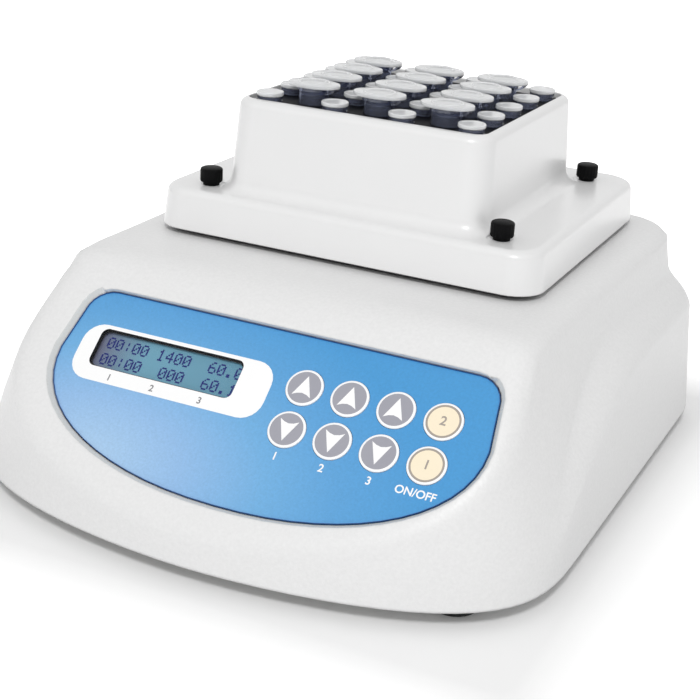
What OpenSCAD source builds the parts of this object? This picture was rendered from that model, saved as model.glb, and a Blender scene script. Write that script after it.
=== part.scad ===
// Bench thermal mixer: a heated tube block that orbits on a motor-driven
// platform above a moulded housing with a sloping control panel.
// Millimetres, +Z up, the front faces -Y. The origin is on the floor, at the
// middle of the footprint.

/* [Housing] */
// Width of the housing at its bottom edge
body_w = 205; // [190:1:246]
// Depth of the housing from front to rear
body_d = 230; // [225:1:276]
// Height of the deck above the floor
deck_z = 75; // [72:0.5:90]
// Height of the rubber feet
foot_h = 6; // [4:0.5:8]
// Diameter of a rubber foot
foot_d = 18; // [12:1:24]
// Wall of the housing
wall = 2.6; // [2:0.1:3.2]
// Slope of the control panel from level, degrees
panel_tilt = 42.2; // [40:0.2:44]
// Distance from the front edge back to the upper row of keys
panel_back = 43.8; // [40:0.2:48]
// Height of the upper row of keys above the floor
panel_z = 52.7; // [50:0.2:55]
// Depth of the recess that the keypad lies in
recess_depth = 1.8; // [1:0.1:2.5]
// Radius of the ridge between the sloping face and the skirt
ridge_r = 9; // [4:0.5:12]
// Radius between the side walls and the deck
shoulder_r = 10; // [6:0.5:16]
// Radius between the rear wall and the deck
rear_brow_r = 4; // [2:0.5:12]
// Share of its width that the housing loses towards the deck
waist = 0.09; // [0.04:0.005:0.12]
// Radius between the sloping face and the deck
brow_r = 24; // [12:1:28]
// Height at which the side fenders end at the rear
fender_z = 60.5; // [50:0.5:64]

/* [Keypad and display] */
// Diameter of a key
key_d = 12.4; // [10:0.2:13]
// Distance between key columns
key_pitch = 15.5; // [15:0.1:18]
// Distance between key rows, down the slope
key_row = 14.75; // [14.5:0.05:17]
// Travel of a key
key_travel = 0.4; // [0.2:0.05:0.45]
// Width of the display window
window_w = 53.4; // [45:0.2:56]
// Height of the display window, along the slope
window_h = 13.8; // [12:0.2:16]

/* [Orbit drive] */
// Radius of the orbit: half of the shaking stroke
orbit_r = 1; // [0.5:0.1:1.5]
// Diameter of the motor shaft and of the eccentric pin
shaft_d = 8; // [6:0.5:8]
// Diameter of the motor
motor_d = 54; // [44:1:66]
// Radial running clearance of the journals
running = 0.05; // [0.03:0.01:0.08]

/* [Tube block] */
// Distance between tube columns
pitch_x = 25; // [24:0.1:26]
// Distance between rows of small tubes
pitch_y = 17.6; // [17:0.1:18.5]
// Outer diameter of a 1.5 ml tube
large_tube_d = 10.6; // [9:0.1:10.8]
// Outer diameter of a 0.5 ml tube
small_tube_d = 7.8; // [6.5:0.1:8]
// Height of the metal block
block_h = 35; // [33:0.5:42]
// Ledge of the cover's lower part beside the block
ledge_x = 27.4; // [22:0.2:32]
// Ledge of the cover's lower part before and behind the block
ledge_y = 19.9; // [18:0.1:24]
// Height of the cover's lower part
cover_h = 14.3; // [13:0.1:18]
// Wall of the cover
cover_wall = 2.2; // [1.8:0.1:2.6]
// Diameter of a thumb screw's knob
knob_d = 9; // [7:0.5:10]

/* [Hidden] */
$fn = 48;

// ---- shared places ------------------------------------------------------
front = -body_d / 2;
bezel_proud = 1.2;                // switch and inlet stand out of the rear wall
rear = body_d / 2 - bezel_proud;
half_w = body_w / 2;
floor_z = foot_h;                 // the housing's bottom edge
base_t = 2;                       // base plate
base_top = floor_z + 0.4 + base_t;

// the panel's own frame: x to the right, s down the slope, n out of the face
panel_x = 4.9;                    // middle of the keypad
key_x = 17.2;                     // first column of keys
panel_y = front + panel_back;
overlay_t = 1;
backing_t = 1;
panel_skin = 2.5;                 // housing left under the recess
window_x = -32;
window_s = 2.9;

// the block stands over the drive, behind the middle of the body
block_y = 36.5;
cover_y = 40.2;
platform_t = 3;
deck_gap = 0.9;
platform_z = deck_z + deck_gap;
platform_top = platform_z + platform_t;
seat = 0.1;                       // gap under the lift-off block
cover_z = platform_top - 1.7;
cover_top = cover_z + cover_h;
base_tray_t = 3;
tray_z = platform_top + seat;
pad_t = 4;
heater_t = 0.8;
block_z = tray_z + base_tray_t + pad_t + heater_t;
block_top = block_z + block_h;
rim_z = block_top + 1.8;
small_cols = 4;
small_rows = 5;
rim_side = 7.2;                   // block edge to the last small tube
rim_front = 6;
block_hw = (small_cols - 1) / 2 * pitch_x + rim_side - 0.8;
block_hd = (small_rows - 1) / 2 * pitch_y + rim_front - 0.4;
cover_w = 2 * (block_hw + ledge_x);
cover_d = 2 * (block_hd + ledge_y);
knob_h = 6;
screw_r = 1.5;
screw_y = block_y + 1;            // middle of the four thumb screws
screw_w = 2 * (block_hw + 10.7);  // between their axes
screw_d = 2 * (block_hd + 4.9);
fix_r = 1.5;                      // screws that hold the cover on the tray
fix_x = cover_w / 2 - 12.5;
fix_y = 20;

// the drive, from the bottom up
chassis_t = 3;
chassis_z = 45;
chassis_top = chassis_z + chassis_t;
hub_t = 6;
hub_z = chassis_top + 2;
pin_z = hub_z + hub_t;
bearing_od = 22;
bearing_t = 7;
bearing_z = pin_z + 1;
shaft_r = shaft_d / 2;
axle_y = block_y - orbit_r;       // at rest the pin points to the rear
crank_pin_r = 3;
bush_r = 6;
crank_back = motor_d / 2 + bush_r + 3;
crank_spots = [[-38, 28], [38, 28], [0, -crank_back]];
post_x = 50;
post_y = crank_back + 4;
post_spots = [for (sy = [-1, 1], sx = [-1, 1]) [sx * post_x, sy * post_y]];
crank_top = bearing_z + bearing_t + 2;

// ---- small helpers ------------------------------------------------------
function mix(a, b, t) = a + (b - a) * t;
function clamp01(t) = min(1, max(0, t));
function ease(t) = let (c = clamp01(t)) c * c * (3 - 2 * c);
function steps(a, b, n) = [for (i = [0:n - 1]) mix(a, b, i / n)];
// the smaller of two lengths, blended where they differ by less than s
function soft_min(a, b, s) =
    let (h = max(s - abs(a - b), 0) / s) min(a, b) - h * h * s / 4;
// how far a fillet of radius r cuts into a corner, times four, as soft_min
// takes it; c is the cosine of the angle between the two faces' normals
function blend_size(r, c) =
    4 * r * (1 / cos(acos(min(0.99, max(-0.5, c))) / 2) - 1);

module at_panel(x, s, n) {
    translate([0, panel_y, panel_z])
        rotate([panel_tilt, 0, 0])
            translate([x, -s, n])
                children();
}

module rounded_plate(w, d, r, t) {
    linear_extrude(t)
        difference() {
            square([w, d], center = true);
            for (sx = [-1, 1], sy = [-1, 1])
                translate([sx * w / 2, sy * d / 2])
                    difference() {
                        square(2 * r, center = true);
                        translate([-sx * r, -sy * r]) circle(r);
                    }
        }
}

module ring(r_out, r_in, h) {
    difference() {
        cylinder(r = r_out, h = h);
        translate([0, 0, -1]) cylinder(r = r_in, h = h + 2);
    }
}

// ---- housing ------------------------------------------------------------
// The plan is a broad curve in front, straight sides and round rear corners.
curve_start = front + 73;         // where the straight sides begin
rear_corner = 25;
side_bow = 1.81;                  // exponents of the front curve
front_bow = 3.76;
draft = 0.155;                    // lean of the walls, mm per mm
fender_draft = 0.08;
rear_draft = 0.04;
front_steps = 20;

half_plan = concat(
    [for (i = [0:front_steps - 1])
        let (t = 90 * pow(1 - i / front_steps, 1.35))
            [half_w * pow(cos(t), 2 / side_bow),
             curve_start + (front - curve_start) * pow(sin(t), 2 / front_bow)]],
    [for (y = steps(curve_start, rear - rear_corner, 9)) [half_w, y]],
    [for (a = steps(0, 90, 6))
        [half_w - rear_corner * (1 - cos(a)),
         rear - rear_corner * (1 - sin(a))]],
    [for (x = steps(half_w - rear_corner, 0, 5)) [x, rear]]
);
plan_points = concat(
    half_plan,
    [[0, rear]],
    [for (i = [len(half_plan) - 1:-1:1]) [-half_plan[i].x, half_plan[i].y]]
);
plan_count = len(plan_points);

axis = [0, -10];                  // the columns below fan out from here
axis_z = 30;

function plan_normal(i) =
    let (
        a = plan_points[(i + plan_count - 1) % plan_count],
        b = plan_points[(i + 1) % plan_count],
        d = (b - a) / norm(b - a)
    ) [d.y, -d.x];

// The sloping face runs recess_depth above the keypad.
face_n = [0, -sin(panel_tilt), cos(panel_tilt)];
function face_point(depth) =
    [0, panel_y, panel_z] + face_n * (recess_depth - depth);

// One vertical column of the shell: [direction, reach at the floor, taper,
// plan normal, wall offset, offset of the sloping face]
function column(i, skin, face_skin) =
    let (
        v = plan_points[i] - axis,
        r = norm(v),
        u = v / r,
        n = plan_normal(i),
        lean_y = (u.y < 0 ? draft / (axis.y - front) : rear_draft / (rear - axis.y)),
        taper = draft / half_w * u.x * u.x + lean_y * u.y * u.y
    ) [u, r - skin / (u * n), taper, n, skin, face_skin];

function wall_reach(c, z) = c[1] * (1 - c[2] * (z - floor_z));
function face_reach(c, z) =
    let (p = face_point(c[5]), y = p.y + (z - p.z) / tan(panel_tilt))
        c[0].y < -0.02 ? (y - axis.y) / c[0].y : 1e4;

// where the wall meets the sloping face, or the deck if that comes first
function ridge_height(c) =
    let (
        p = face_point(c[5]),
        top = deck_z - c[4],
        k = 1 / (tan(panel_tilt) * c[0].y),
        y0 = (p.y - p.z / tan(panel_tilt) - axis.y) / c[0].y,
        z = (c[1] * (1 + c[2] * floor_z) - y0) / (c[1] * c[2] + k)
    ) c[0].y < -0.02 && z < top ? z : top;

// distance along a ray of elevation e to the wall, the face and the deck
function shell_reach(c, e) =
    let (
        top = deck_z - c[4],
        u = c[0],
        n = c[3],
        p = face_point(c[5]),
        w = c[1] * (1 - c[2] * (axis_z - floor_z)) / (cos(e) + c[1] * c[2] * sin(e)),
        den = face_n.y * cos(e) * u.y + face_n.z * sin(e),
        f = den > 1e-3
            ? (face_n.y * (p.y - axis.y) + face_n.z * (p.z - axis_z)) / den
            : 1e4,
        t = sin(e) > 1e-3 ? (top - axis_z) / sin(e) : 1e4,
        upright = 1 / sqrt(1 + draft * draft),
        ridge = blend_size(
            ridge_r, (n.y * face_n.y + draft * face_n.z) * upright),
        deck = mix(blend_size(brow_r, face_n.z),
                   blend_size(
                       mix(shoulder_r, rear_brow_r, ease((u.y - 0.55) / 0.35)),
                       draft * upright),
                   clamp01(0.5 + (f - w) / 16))
    ) soft_min(soft_min(w, f, ridge), t, deck);

function elevation(r, z) = atan2(z - axis_z, r);

// the side walls draw in towards the deck
function waisted(p) =
    [p.x * (1 - waist * ease((p.z - floor_z - 10) / (deck_z - floor_z - 13))), p.y, p.z];

// the fenders stand out of the leaning side walls below a falling line
fender_band = 12;
fender_fall = 0.0038;
fender_level = 30;                // the line is level behind this y
function fender_line(y) =
    fender_z - (y < fender_level ? fender_fall * pow(fender_level - y, 2) : 0);
function fender_share(p) =
    ease((fender_line(p.y) - p.z) / fender_band)
    * ease((p.y - curve_start + 36) / 30)
    * ease((abs(p.x) / half_w - 0.6) / 0.25);
function with_fender(p, x_floor) =
    let (x = x_floor * (1 - fender_draft * (p.z - floor_z) / half_w))
        [mix(p.x, x, fender_share(p)), p.y, p.z];

function column_points(c, wall_rows, ridge_rows, face_rows, brow_rows, deck_rows) =
    let (
        top = deck_z - c[4],
        zr = ridge_height(c),
        cut = zr < top,
        rd = min(wall_reach(c, top), face_reach(c, top)),
        er = elevation(wall_reach(c, zr), zr),
        ed = elevation(rd, top),
        mid = (er + ed) / 2,
        below = mix(5, 13, clamp01((zr - 30) / 30)),
        e1 = elevation(wall_reach(c, zr - below), zr - below),
        up = zr + 5,
        e2 = cut ? min(mid, elevation(face_reach(c, up), up)) : mid,
        down = top - 11,
        e3 = cut ? max(mid, elevation(face_reach(c, down), down)) : mid,
        e4 = elevation(rd - (cut ? 14 : 17), top),
        y = axis.y + wall_reach(c, 40) * c[0].y,
        z_end = zr - below,
        crease = max(floor_z + 3, min(fender_line(y), z_end - 2)),
        band = min(fender_band, (crease - floor_z) * 0.6),
        zs = wall_rows > 2
            ? concat(steps(floor_z, crease - band, 3),
                     steps(crease - band, crease, wall_rows - 5),
                     steps(crease, z_end, 2))
            : steps(floor_z, z_end, wall_rows),
        es = concat(steps(e1, e2, ridge_rows), steps(e2, e3, face_rows),
                    steps(e3, e4, brow_rows), steps(e4, 90, deck_rows))
    ) concat(
        [for (z = zs) let (r = wall_reach(c, z)) [r * c[0].x, axis.y + r * c[0].y, z]],
        [for (e = es)
            let (d = shell_reach(c, e), r = d * cos(e))
                [r * c[0].x, axis.y + r * c[0].y, axis_z + d * sin(e)]]
    );

// a closed solid from columns of points, with a fan at the top and the bottom
module column_solid(columns, low, high) {
    rows = len(columns[0]);
    count = len(columns);
    points = concat([for (c = columns) each c], [low, high]);
    low_i = count * rows;
    polyhedron(
        points,
        concat(
            [for (i = [0:count - 1], j = [0:rows - 2])
                let (a = i * rows + j, b = ((i + 1) % count) * rows + j)
                    [a, b + 1, b]],
            [for (i = [0:count - 1], j = [0:rows - 2])
                let (a = i * rows + j, b = ((i + 1) % count) * rows + j)
                    [a, a + 1, b + 1]],
            [for (i = [0:count - 1])
                let (b = (i + 1) % count) [i * rows, b * rows, low_i]],
            [for (i = [0:count - 1])
                let (b = (i + 1) % count)
                    [i * rows + rows - 1, low_i + 1, b * rows + rows - 1]]
        )
    );
}

module housing_outside() {
    columns = [for (i = [0:plan_count - 1])
        [for (p = column_points(column(i, 0, 0), 12, 6, 3, 7, 2))
            with_fender(waisted(p), plan_points[i].x)]];
    column_solid(columns, [axis.x, axis.y, floor_z], [axis.x, axis.y, deck_z]);
}

face_skin = recess_depth + overlay_t + backing_t + panel_skin;

module housing_inside() {
    sink = 1;
    columns = [for (i = [0:plan_count - 1])
        let (ps = column_points(column(i, wall, face_skin), 2, 2, 1, 3, 1))
            concat([[ps[0].x, ps[0].y, ps[0].z - sink]], [for (p = ps) waisted(p)])];
    column_solid(columns, [axis.x, axis.y, floor_z - sink],
                 [axis.x, axis.y, deck_z - wall]);
}

// The keypad's outline: a level top edge, round top corners and a deep bow
panel_hw = 75.4;
panel_top = -17.4;
panel_low = 44.2;
panel_mid = 6;
panel_bow = 2.15;
panel_corner = 9;
panel_lean = 2;
function keypad_outline(grow) =
    let (
        hw = panel_hw + grow,
        r = panel_corner + grow,
        cx = hw - panel_lean - r,
        cy = -panel_top - panel_corner
    ) concat(
        [for (a = [0:6:180])
            [hw * sign(cos(a)) * pow(abs(cos(a)), 2 / panel_bow),
             -panel_mid - (panel_low - panel_mid + grow) * pow(sin(a), 2 / panel_bow)]],
        [for (a = [180:-15:90]) [-cx + r * cos(a), cy + r * sin(a)]],
        [for (a = [90:-15:0]) [cx + r * cos(a), cy + r * sin(a)]]
    );

module keypad_plate(grow, t) {
    linear_extrude(t) translate([panel_x, 0]) polygon(keypad_outline(grow));
}

recess_gap = 0.3;
lcd_w = 60;
lcd_h = 17;
boss_spots = [
    for (sx = [-1, 1]) [sx * (half_w - 22.5), front + 58.5],
    for (sx = [-1, 1]) [sx * (half_w - 16.5), rear - 31.8]
];
boss_r = 5;
switch_x = -62;
inlet_x = 62;
rear_z = 28;
switch_w = 14;
switch_h = 21;
inlet_r = 5.5;

// the rear wall's own frame: x along X, y up the wall, z into the housing
rear_tilt = atan(rear_draft);
module at_rear(x) {
    translate([x, rear - rear_draft * (rear_z - floor_z), rear_z])
        rotate([90 + rear_tilt, 0, 0])
            children();
}

module housing() {
    color("white")
        resize([0, 0, 0]) // keeps the moulding as one closed mesh
            difference() {
                union() {
                    difference() {
                        housing_outside();
                        housing_inside();
                    }
                    intersection() {
                        housing_outside();
                        for (p = boss_spots)
                            translate([p.x, p.y, base_top + 0.2])
                                cylinder(r = boss_r, h = deck_z);
                    }
                }
                at_panel(0, 0, -overlay_t - backing_t)
                    keypad_plate(recess_gap, 20);
                at_panel(window_x, window_s, -12)
                    rounded_plate(lcd_w + 1, lcd_h + 1, 1, 12);
                for (p = boss_spots)
                    translate([p.x, p.y, 0]) cylinder(r = 1.4, h = 22);
                translate([0, block_y, deck_z - 20]) cylinder(r = 19, h = 40);
                for (p = crank_spots)
                    translate([p.x, block_y + p.y, deck_z - 20])
                        cylinder(r = 12, h = 40);
                at_rear(switch_x) translate([0, 0, -5])
                    rounded_plate(switch_w + 0.4, switch_h + 0.4, 1, 15);
                at_rear(inlet_x) translate([0, 0, -5])
                    cylinder(r = inlet_r + 0.2, h = 15);
            }
}

module base_plate() {
    inset = wall + 0.9;
    outline = [for (i = [0:plan_count - 1]) plan_points[i] - plan_normal(i) * inset];
    color("gainsboro")
        translate([0, 0, base_top - base_t])
            difference() {
                linear_extrude(base_t) polygon(outline);
                for (p = concat(boss_spots, foot_spots))
                    translate([p.x, p.y, -1]) cylinder(r = 1.8, h = base_t + 2);
                for (x = [-30:6:30])
                    translate([x, 60, -1])
                        rounded_plate(2.5, 30, 1.2, base_t + 2);
            }
}

foot_spots = [
    for (sx = [-1, 1]) [sx * (half_w - 26.5), front + 33],
    for (sx = [-1, 1]) [sx * (half_w - 24.5), rear - 17.8]
];

module rubber_feet() {
    color("dimgray")
        for (p = foot_spots)
            translate([p.x, p.y, 0]) {
                cylinder(r1 = foot_d / 2 - 1.5, r2 = foot_d / 2, h = 2);
                translate([0, 0, 2]) cylinder(r = foot_d / 2, h = base_top - base_t - 2);
                cylinder(r = 1.7, h = base_top + 1);
                translate([0, 0, base_top + 0.05]) cylinder(r1 = 2.4, r2 = 1.7, h = 1.2);
            }
}

module base_screws() {
    color("silver")
        for (p = boss_spots)
            translate([p.x, p.y, base_top - base_t - 1.9]) {
                cylinder(r = 2.9, h = 1.8);
                cylinder(r = 1.3, h = 14);
            }
}

// ---- keypad and display -------------------------------------------------
key_gap = 0.15;
key_proud = 0.5;
key_t = 0.95;

module each_key() {
    for (i = [0:3], j = [0:1])
        translate([key_x + i * key_pitch, -j * key_row]) children();
}

module keypad_overlay() {
    color("steelblue")
        at_panel(0, 0, -overlay_t)
            difference() {
                keypad_plate(0, overlay_t);
                translate([0, 0, -1])
                    each_key() cylinder(r = key_d / 2 + key_gap, h = overlay_t + 2);
                translate([window_x, -window_s, -1])
                    rounded_plate(window_w, window_h, 2.5, overlay_t + 2);
            }
}

module keypad_backing() {
    color("darkslategray")
        at_panel(0, 0, -overlay_t - backing_t)
            difference() {
                keypad_plate(-0.2, backing_t);
                translate([window_x, -window_s, -1])
                    rounded_plate(lcd_w + 1, lcd_h + 1, 1, backing_t + 2);
            }
}

module display_window() {
    color("lightblue")
        at_panel(window_x, window_s, -overlay_t)
            rounded_plate(window_w, window_h, 2.5, overlay_t);
}

lcd_n = -2.2;                     // the liquid crystal glass lies this deep
lcd_t = 2.6;
lcd_board_w = 72;
lcd_board_h = 30;

module display_module() {
    at_panel(window_x, window_s, lcd_n - lcd_t) {
        color("cadetblue") rounded_plate(lcd_w, lcd_h, 0.6, lcd_t);
        color("darkgreen")
            translate([0, 0, -1.6])
                linear_extrude(1.6)
                    difference() {
                        square([lcd_board_w, lcd_board_h], center = true);
                        for (sx = [-1, 1], sy = [-1, 1])
                            translate([sx * (lcd_board_w / 2 - 3), sy * (lcd_board_h / 2 - 3)])
                                circle(1.3);
                    }
        color("black") translate([0, 0, -3.4]) cylinder(r = 5, h = 1.9);
    }
}

module key(i, j, tint) {
    color(tint)
        at_panel(key_x + i * key_pitch, j * key_row, key_proud - key_t)
            rotate_extrude()
                polygon([[0, 0], [key_d / 2, 0], [key_d / 2, key_t - 0.3],
                         [key_d / 2 - 0.3, key_t], [0, key_t]]);
}

module key_time_up() { key(0, 0, "darkgray"); }
module key_speed_up() { key(1, 0, "darkgray"); }
module key_heat_up() { key(2, 0, "darkgray"); }
module key_time_down() { key(0, 1, "darkgray"); }
module key_speed_down() { key(1, 1, "darkgray"); }
module key_heat_down() { key(2, 1, "darkgray"); }
module key_run_speed() { key(3, 0, "wheat"); }
module key_run_time() { key(3, 1, "wheat"); }

board_w = 120;
board_d = 50;
board_y = -62;
board_z = base_top + 7;
board_t = 1.6;
board_holes = [for (sx = [-1, 1], sy = [-1, 1])
    [sx * (board_w / 2 - 4), board_y + sy * (board_d / 2 - 4)]];

module control_board() {
    color("darkgreen")
        translate([0, 0, board_z])
            difference() {
                translate([-board_w / 2, board_y - board_d / 2, 0])
                    cube([board_w, board_d, board_t]);
                for (p = board_holes)
                    translate([p.x, p.y, -1]) cylinder(r = 1.6, h = 4);
            }
    color("black")
        translate([0, board_y, board_z + board_t]) {
            translate([-8, -6, 0]) cube([14, 14, 1.4]);
            translate([-48, 2, 0]) cube([24, 14, 9]);
            translate([30, -4, 0]) cube([18, 20, 6]);
        }
    color("silver")
        for (i = [0:2])
            translate([14, board_y - 12 + 12 * i, board_z + board_t])
                cylinder(r = 4, h = 8);
}

module board_standoffs() {
    color("goldenrod")
        for (p = board_holes)
            translate([p.x, p.y, base_top]) {
                cylinder(r = 3.2, h = board_z - base_top, $fn = 6);
                cylinder(r = 1.5, h = board_z - base_top + board_t + 2);
                translate([0, 0, board_z - base_top + board_t])
                    cylinder(r = 2.6, h = 1.6);
            }
}

// ---- rear panel ---------------------------------------------------------
bezel = 2;
bezel_t = (bezel_proud + rear_draft * (rear_z - floor_z)
           - (switch_h / 2 + bezel) * sin(rear_tilt)) / cos(rear_tilt) - 0.02;

module switch_frame() {
    color("black")
        at_rear(switch_x)
            difference() {
                union() {
                    translate([0, 0, -bezel_t - 0.02])
                        rounded_plate(switch_w + 2 * bezel, switch_h + 2 * bezel, 1.5, bezel_t);
                    translate([0, 0, -0.1]) rounded_plate(switch_w, switch_h, 0.8, 14);
                }
                translate([0, 0, -5]) rounded_plate(switch_w - 3, switch_h - 3, 0.5, 16);
                translate([-switch_w / 2 + 0.5, 0, rocker_n]) rotate([0, 90, 0])
                    cylinder(r = pivot_r + running, h = switch_w - 1);
            }
}

rocker_tilt = 9;
rocker_n = 4.2;                   // the rocker's pivot lies this deep in the wall
pivot_r = 1.2;
module power_rocker() {
    w = switch_w - 3.6;
    h = (switch_h - 6) / 2;
    color("firebrick")
        at_rear(switch_x)
            translate([0, 0, rocker_n])
                rotate([0, 90, 0])
                    rotate([0, 0, rocker_tilt]) {
                        translate([0, 0, -w / 2])
                            linear_extrude(w)
                                polygon([[-3.4, -h], [4.2, -h], [2.4, 0], [4.2, h], [-3.4, h]]);
                        translate([0, 0, -switch_w / 2 + 0.6])
                            cylinder(r = pivot_r, h = switch_w - 1.2);
                    }
}

module power_inlet() {
    color("black")
        at_rear(inlet_x) {
            difference() {
                union() {
                    translate([0, 0, -bezel_t - 0.02]) cylinder(r = inlet_r + 2, h = bezel_t);
                    translate([0, 0, -0.1]) cylinder(r = inlet_r, h = 14);
                }
                translate([0, 0, -5]) cylinder(r = 2.75, h = 16);
            }
            translate([0, 0, 1]) cylinder(r = 1.05, h = 11);
        }
}

// ---- drive --------------------------------------------------------------
module chassis_posts() {
    color("silver")
        for (p = post_spots)
            translate([p.x, block_y + p.y, base_top]) {
                cylinder(r = 4.5, h = chassis_z - base_top, $fn = 6);
                cylinder(r = 1.9, h = chassis_top - base_top + 0.4);
                translate([0, 0, chassis_top - base_top])
                    cylinder(r = 3.4, h = 1.7, $fn = 6);
            }
}

module drive_chassis() {
    color("lightsteelblue")
        translate([0, block_y, chassis_z])
            difference() {
                rounded_plate(2 * post_x + 16, 2 * post_y + 16, 8, chassis_t);
                translate([0, -orbit_r, -1]) cylinder(r = 11, h = chassis_t + 2);
                for (p = crank_spots)
                    translate([p.x, p.y - orbit_r, -1]) cylinder(r = bush_r, h = chassis_t + 2);
                for (p = post_spots)
                    translate([p.x, p.y, -1]) cylinder(r = 2, h = chassis_t + 2);
            }
}

module chassis_bushes() {
    color("darkgoldenrod")
        for (p = crank_spots)
            translate([p.x, block_y - orbit_r + p.y, chassis_z - 4]) {
                ring(bush_r, crank_pin_r + running, 7);
                ring(bush_r + 2, crank_pin_r + running, 4);
            }
}

motor_z = 20;
motor_h = chassis_z - motor_z;
can_t = 2;
stator_r = motor_d / 2 - can_t;
rotor_r = stator_r - 11;

module motor_housing() {
    color("dimgray")
        translate([0, axle_y, motor_z])
            difference() {
                union() {
                    cylinder(r = motor_d / 2, h = motor_h);
                    cylinder(r = 10.9, h = motor_h + chassis_t - 0.2);
                }
                translate([0, 0, can_t + 1])
                    cylinder(r = stator_r, h = motor_h - 2 * can_t - 3);
                translate([0, 0, -1]) cylinder(r = shaft_r + 4, h = motor_h + 6);
            }
}

module motor_stator() {
    slots = 9;
    color("peru")
        translate([0, axle_y, motor_z + can_t + 3])
            difference() {
                cylinder(r = stator_r - 0.05, h = motor_h - 2 * can_t - 6);
                translate([0, 0, -1]) cylinder(r = rotor_r + 0.6, h = motor_h);
                for (i = [0:slots - 1])
                    rotate([0, 0, i * 360 / slots])
                        translate([rotor_r - 1, -1.5, -1]) cube([8, 3, motor_h]);
            }
}

module motor_rotor() {
    color("gray")
        translate([0, axle_y, 0]) {
            translate([0, 0, motor_z + can_t + 4])
                cylinder(r = rotor_r, h = motor_h - 2 * can_t - 8);
            translate([0, 0, motor_z + 0.5]) cylinder(r = shaft_r, h = hub_z + hub_t - motor_z - 0.5);
        }
}

module motor_bearings() {
    color("silver")
        for (z = [motor_z + 0.2, chassis_top - 5.4])
            translate([0, axle_y, z]) ring(shaft_r + 4, shaft_r + running, 5);
}

hub_r = 17;
weight_r = 28;
module eccentric_hub() {
    color("darkgray") {
        translate([0, axle_y, hub_z])
            ring(hub_r, shaft_r, hub_t);
        translate([0, block_y, pin_z])
            cylinder(r = shaft_r, h = bearing_t + 3);
        translate([0, block_y, pin_z]) cylinder(r = shaft_r + 2, h = 0.9);
    }
}

module counterweight() {
    color("darkslategray")
        translate([0, axle_y, hub_z])
            difference() {
                intersection() {
                    cylinder(r = weight_r, h = hub_t);
                    translate([-weight_r, -weight_r, 0]) cube([2 * weight_r, 20, hub_t]);
                }
                translate([0, 0, -1]) cylinder(r = hub_r + 0.05, h = hub_t + 2);
            }
}

race_r = 7;
module eccentric_inner_ring() {
    color("silver")
        translate([0, block_y, bearing_z]) ring(race_r, shaft_r, bearing_t);
}

module eccentric_outer_ring() {
    color("silver")
        translate([0, block_y, bearing_z])
            ring(bearing_od / 2, race_r + running, bearing_t);
}

module support_crank(k) {
    p = crank_spots[k];
    color("slategray")
        translate([p.x, block_y - orbit_r + p.y, 0]) {
            translate([0, 0, chassis_z - 4]) cylinder(r = crank_pin_r, h = chassis_t + 6);
            translate([0, 0, chassis_top + 1.4]) cylinder(r = 7, h = pin_z - chassis_top - 1.4);
            translate([0, orbit_r, pin_z - 1])
                cylinder(r = crank_pin_r, h = crank_top - pin_z + 1);
        }
}
module support_crank_1() { support_crank(0); }
module support_crank_2() { support_crank(1); }
module support_crank_3() { support_crank(2); }

module platform() {
    skirt_gap = 1;
    w = cover_w - 2 * (cover_wall + skirt_gap);
    d = cover_d - 2 * (cover_wall + skirt_gap);
    boss_h = platform_z - bearing_z + 1;
    color("black")
        difference() {
            union() {
                translate([0, cover_y, platform_z]) rounded_plate(w, d, 8, platform_t);
                translate([0, block_y, bearing_z]) cylinder(r = bearing_od / 2 + 3.5, h = boss_h);
                for (p = crank_spots)
                    translate([p.x, block_y + p.y, bearing_z]) cylinder(r = bush_r + 2, h = boss_h);
            }
            translate([0, block_y, bearing_z - 1]) cylinder(r = bearing_od / 2, h = bearing_t + 1);
            translate([0, block_y, bearing_z]) cylinder(r = bearing_od / 2 - 2, h = bearing_t + 5);
            for (p = crank_spots)
                translate([p.x, block_y + p.y, bearing_z - 1]) cylinder(r = bush_r, h = bearing_t + 3);
            for (sx = [-1, 1], sy = [-1, 1])
                translate([sx * screw_w / 2, screw_y + sy * screw_d / 2, platform_z - 1])
                    cylinder(r = screw_r + 0.1, h = platform_t + 2);
            translate([0, connector_y, platform_z - 1])
                rounded_plate(connector_w + 4, connector_d + 2, 1, platform_t + 2);
        }
}

module platform_bushes() {
    color("darkgoldenrod")
        for (p = crank_spots)
            translate([p.x, block_y + p.y, bearing_z])
                ring(bush_r, crank_pin_r + running, bearing_t);
}

// ---- block --------------------------------------------------------------
small_spots = [for (j = [0:small_rows - 1])
    [for (i = [0:small_cols - 1])
        [(i - (small_cols - 1) / 2) * pitch_x,
         block_y + (j - (small_rows - 1) / 2) * pitch_y]]];
large_spots = [for (j = [0:small_rows - 2])
    [for (i = [0:small_cols - 2])
        [(i - (small_cols - 2) / 2) * pitch_x,
         block_y + (j - (small_rows - 2) / 2) * pitch_y]]];
well_gap = 0.15;
large_stand = 5.8;                // rim of a large tube above the block
small_stand = 2.3;
large_body = 30;                  // below the rim, straight and tapering part
small_body = 24;

module block_tray() {
    inner = cover_w - 2 * cover_wall - 3;
    depth = cover_d - 2 * cover_wall - 3;
    color("gray")
        difference() {
            translate([0, cover_y, tray_z]) rounded_plate(inner, depth, 7, base_tray_t);
            for (sx = [-1, 1], sy = [-1, 1])
                translate([sx * screw_w / 2, screw_y + sy * screw_d / 2, tray_z - 1])
                    cylinder(r = screw_r + 0.3, h = base_tray_t + 2);
            for (sx = [-1, 1], sy = [-1, 1])
                translate([sx * fix_x, cover_y + sy * fix_y, tray_z - 0.01]) {
                    cylinder(r1 = fix_r + 1.45, r2 = fix_r + 0.1, h = 1.5);
                    cylinder(r = fix_r + 0.1, h = base_tray_t + 1);
                }
            translate([0, connector_y, tray_z - 1])
                rounded_plate(connector_w, connector_d, 1, base_tray_t + 2);
        }
}

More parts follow.
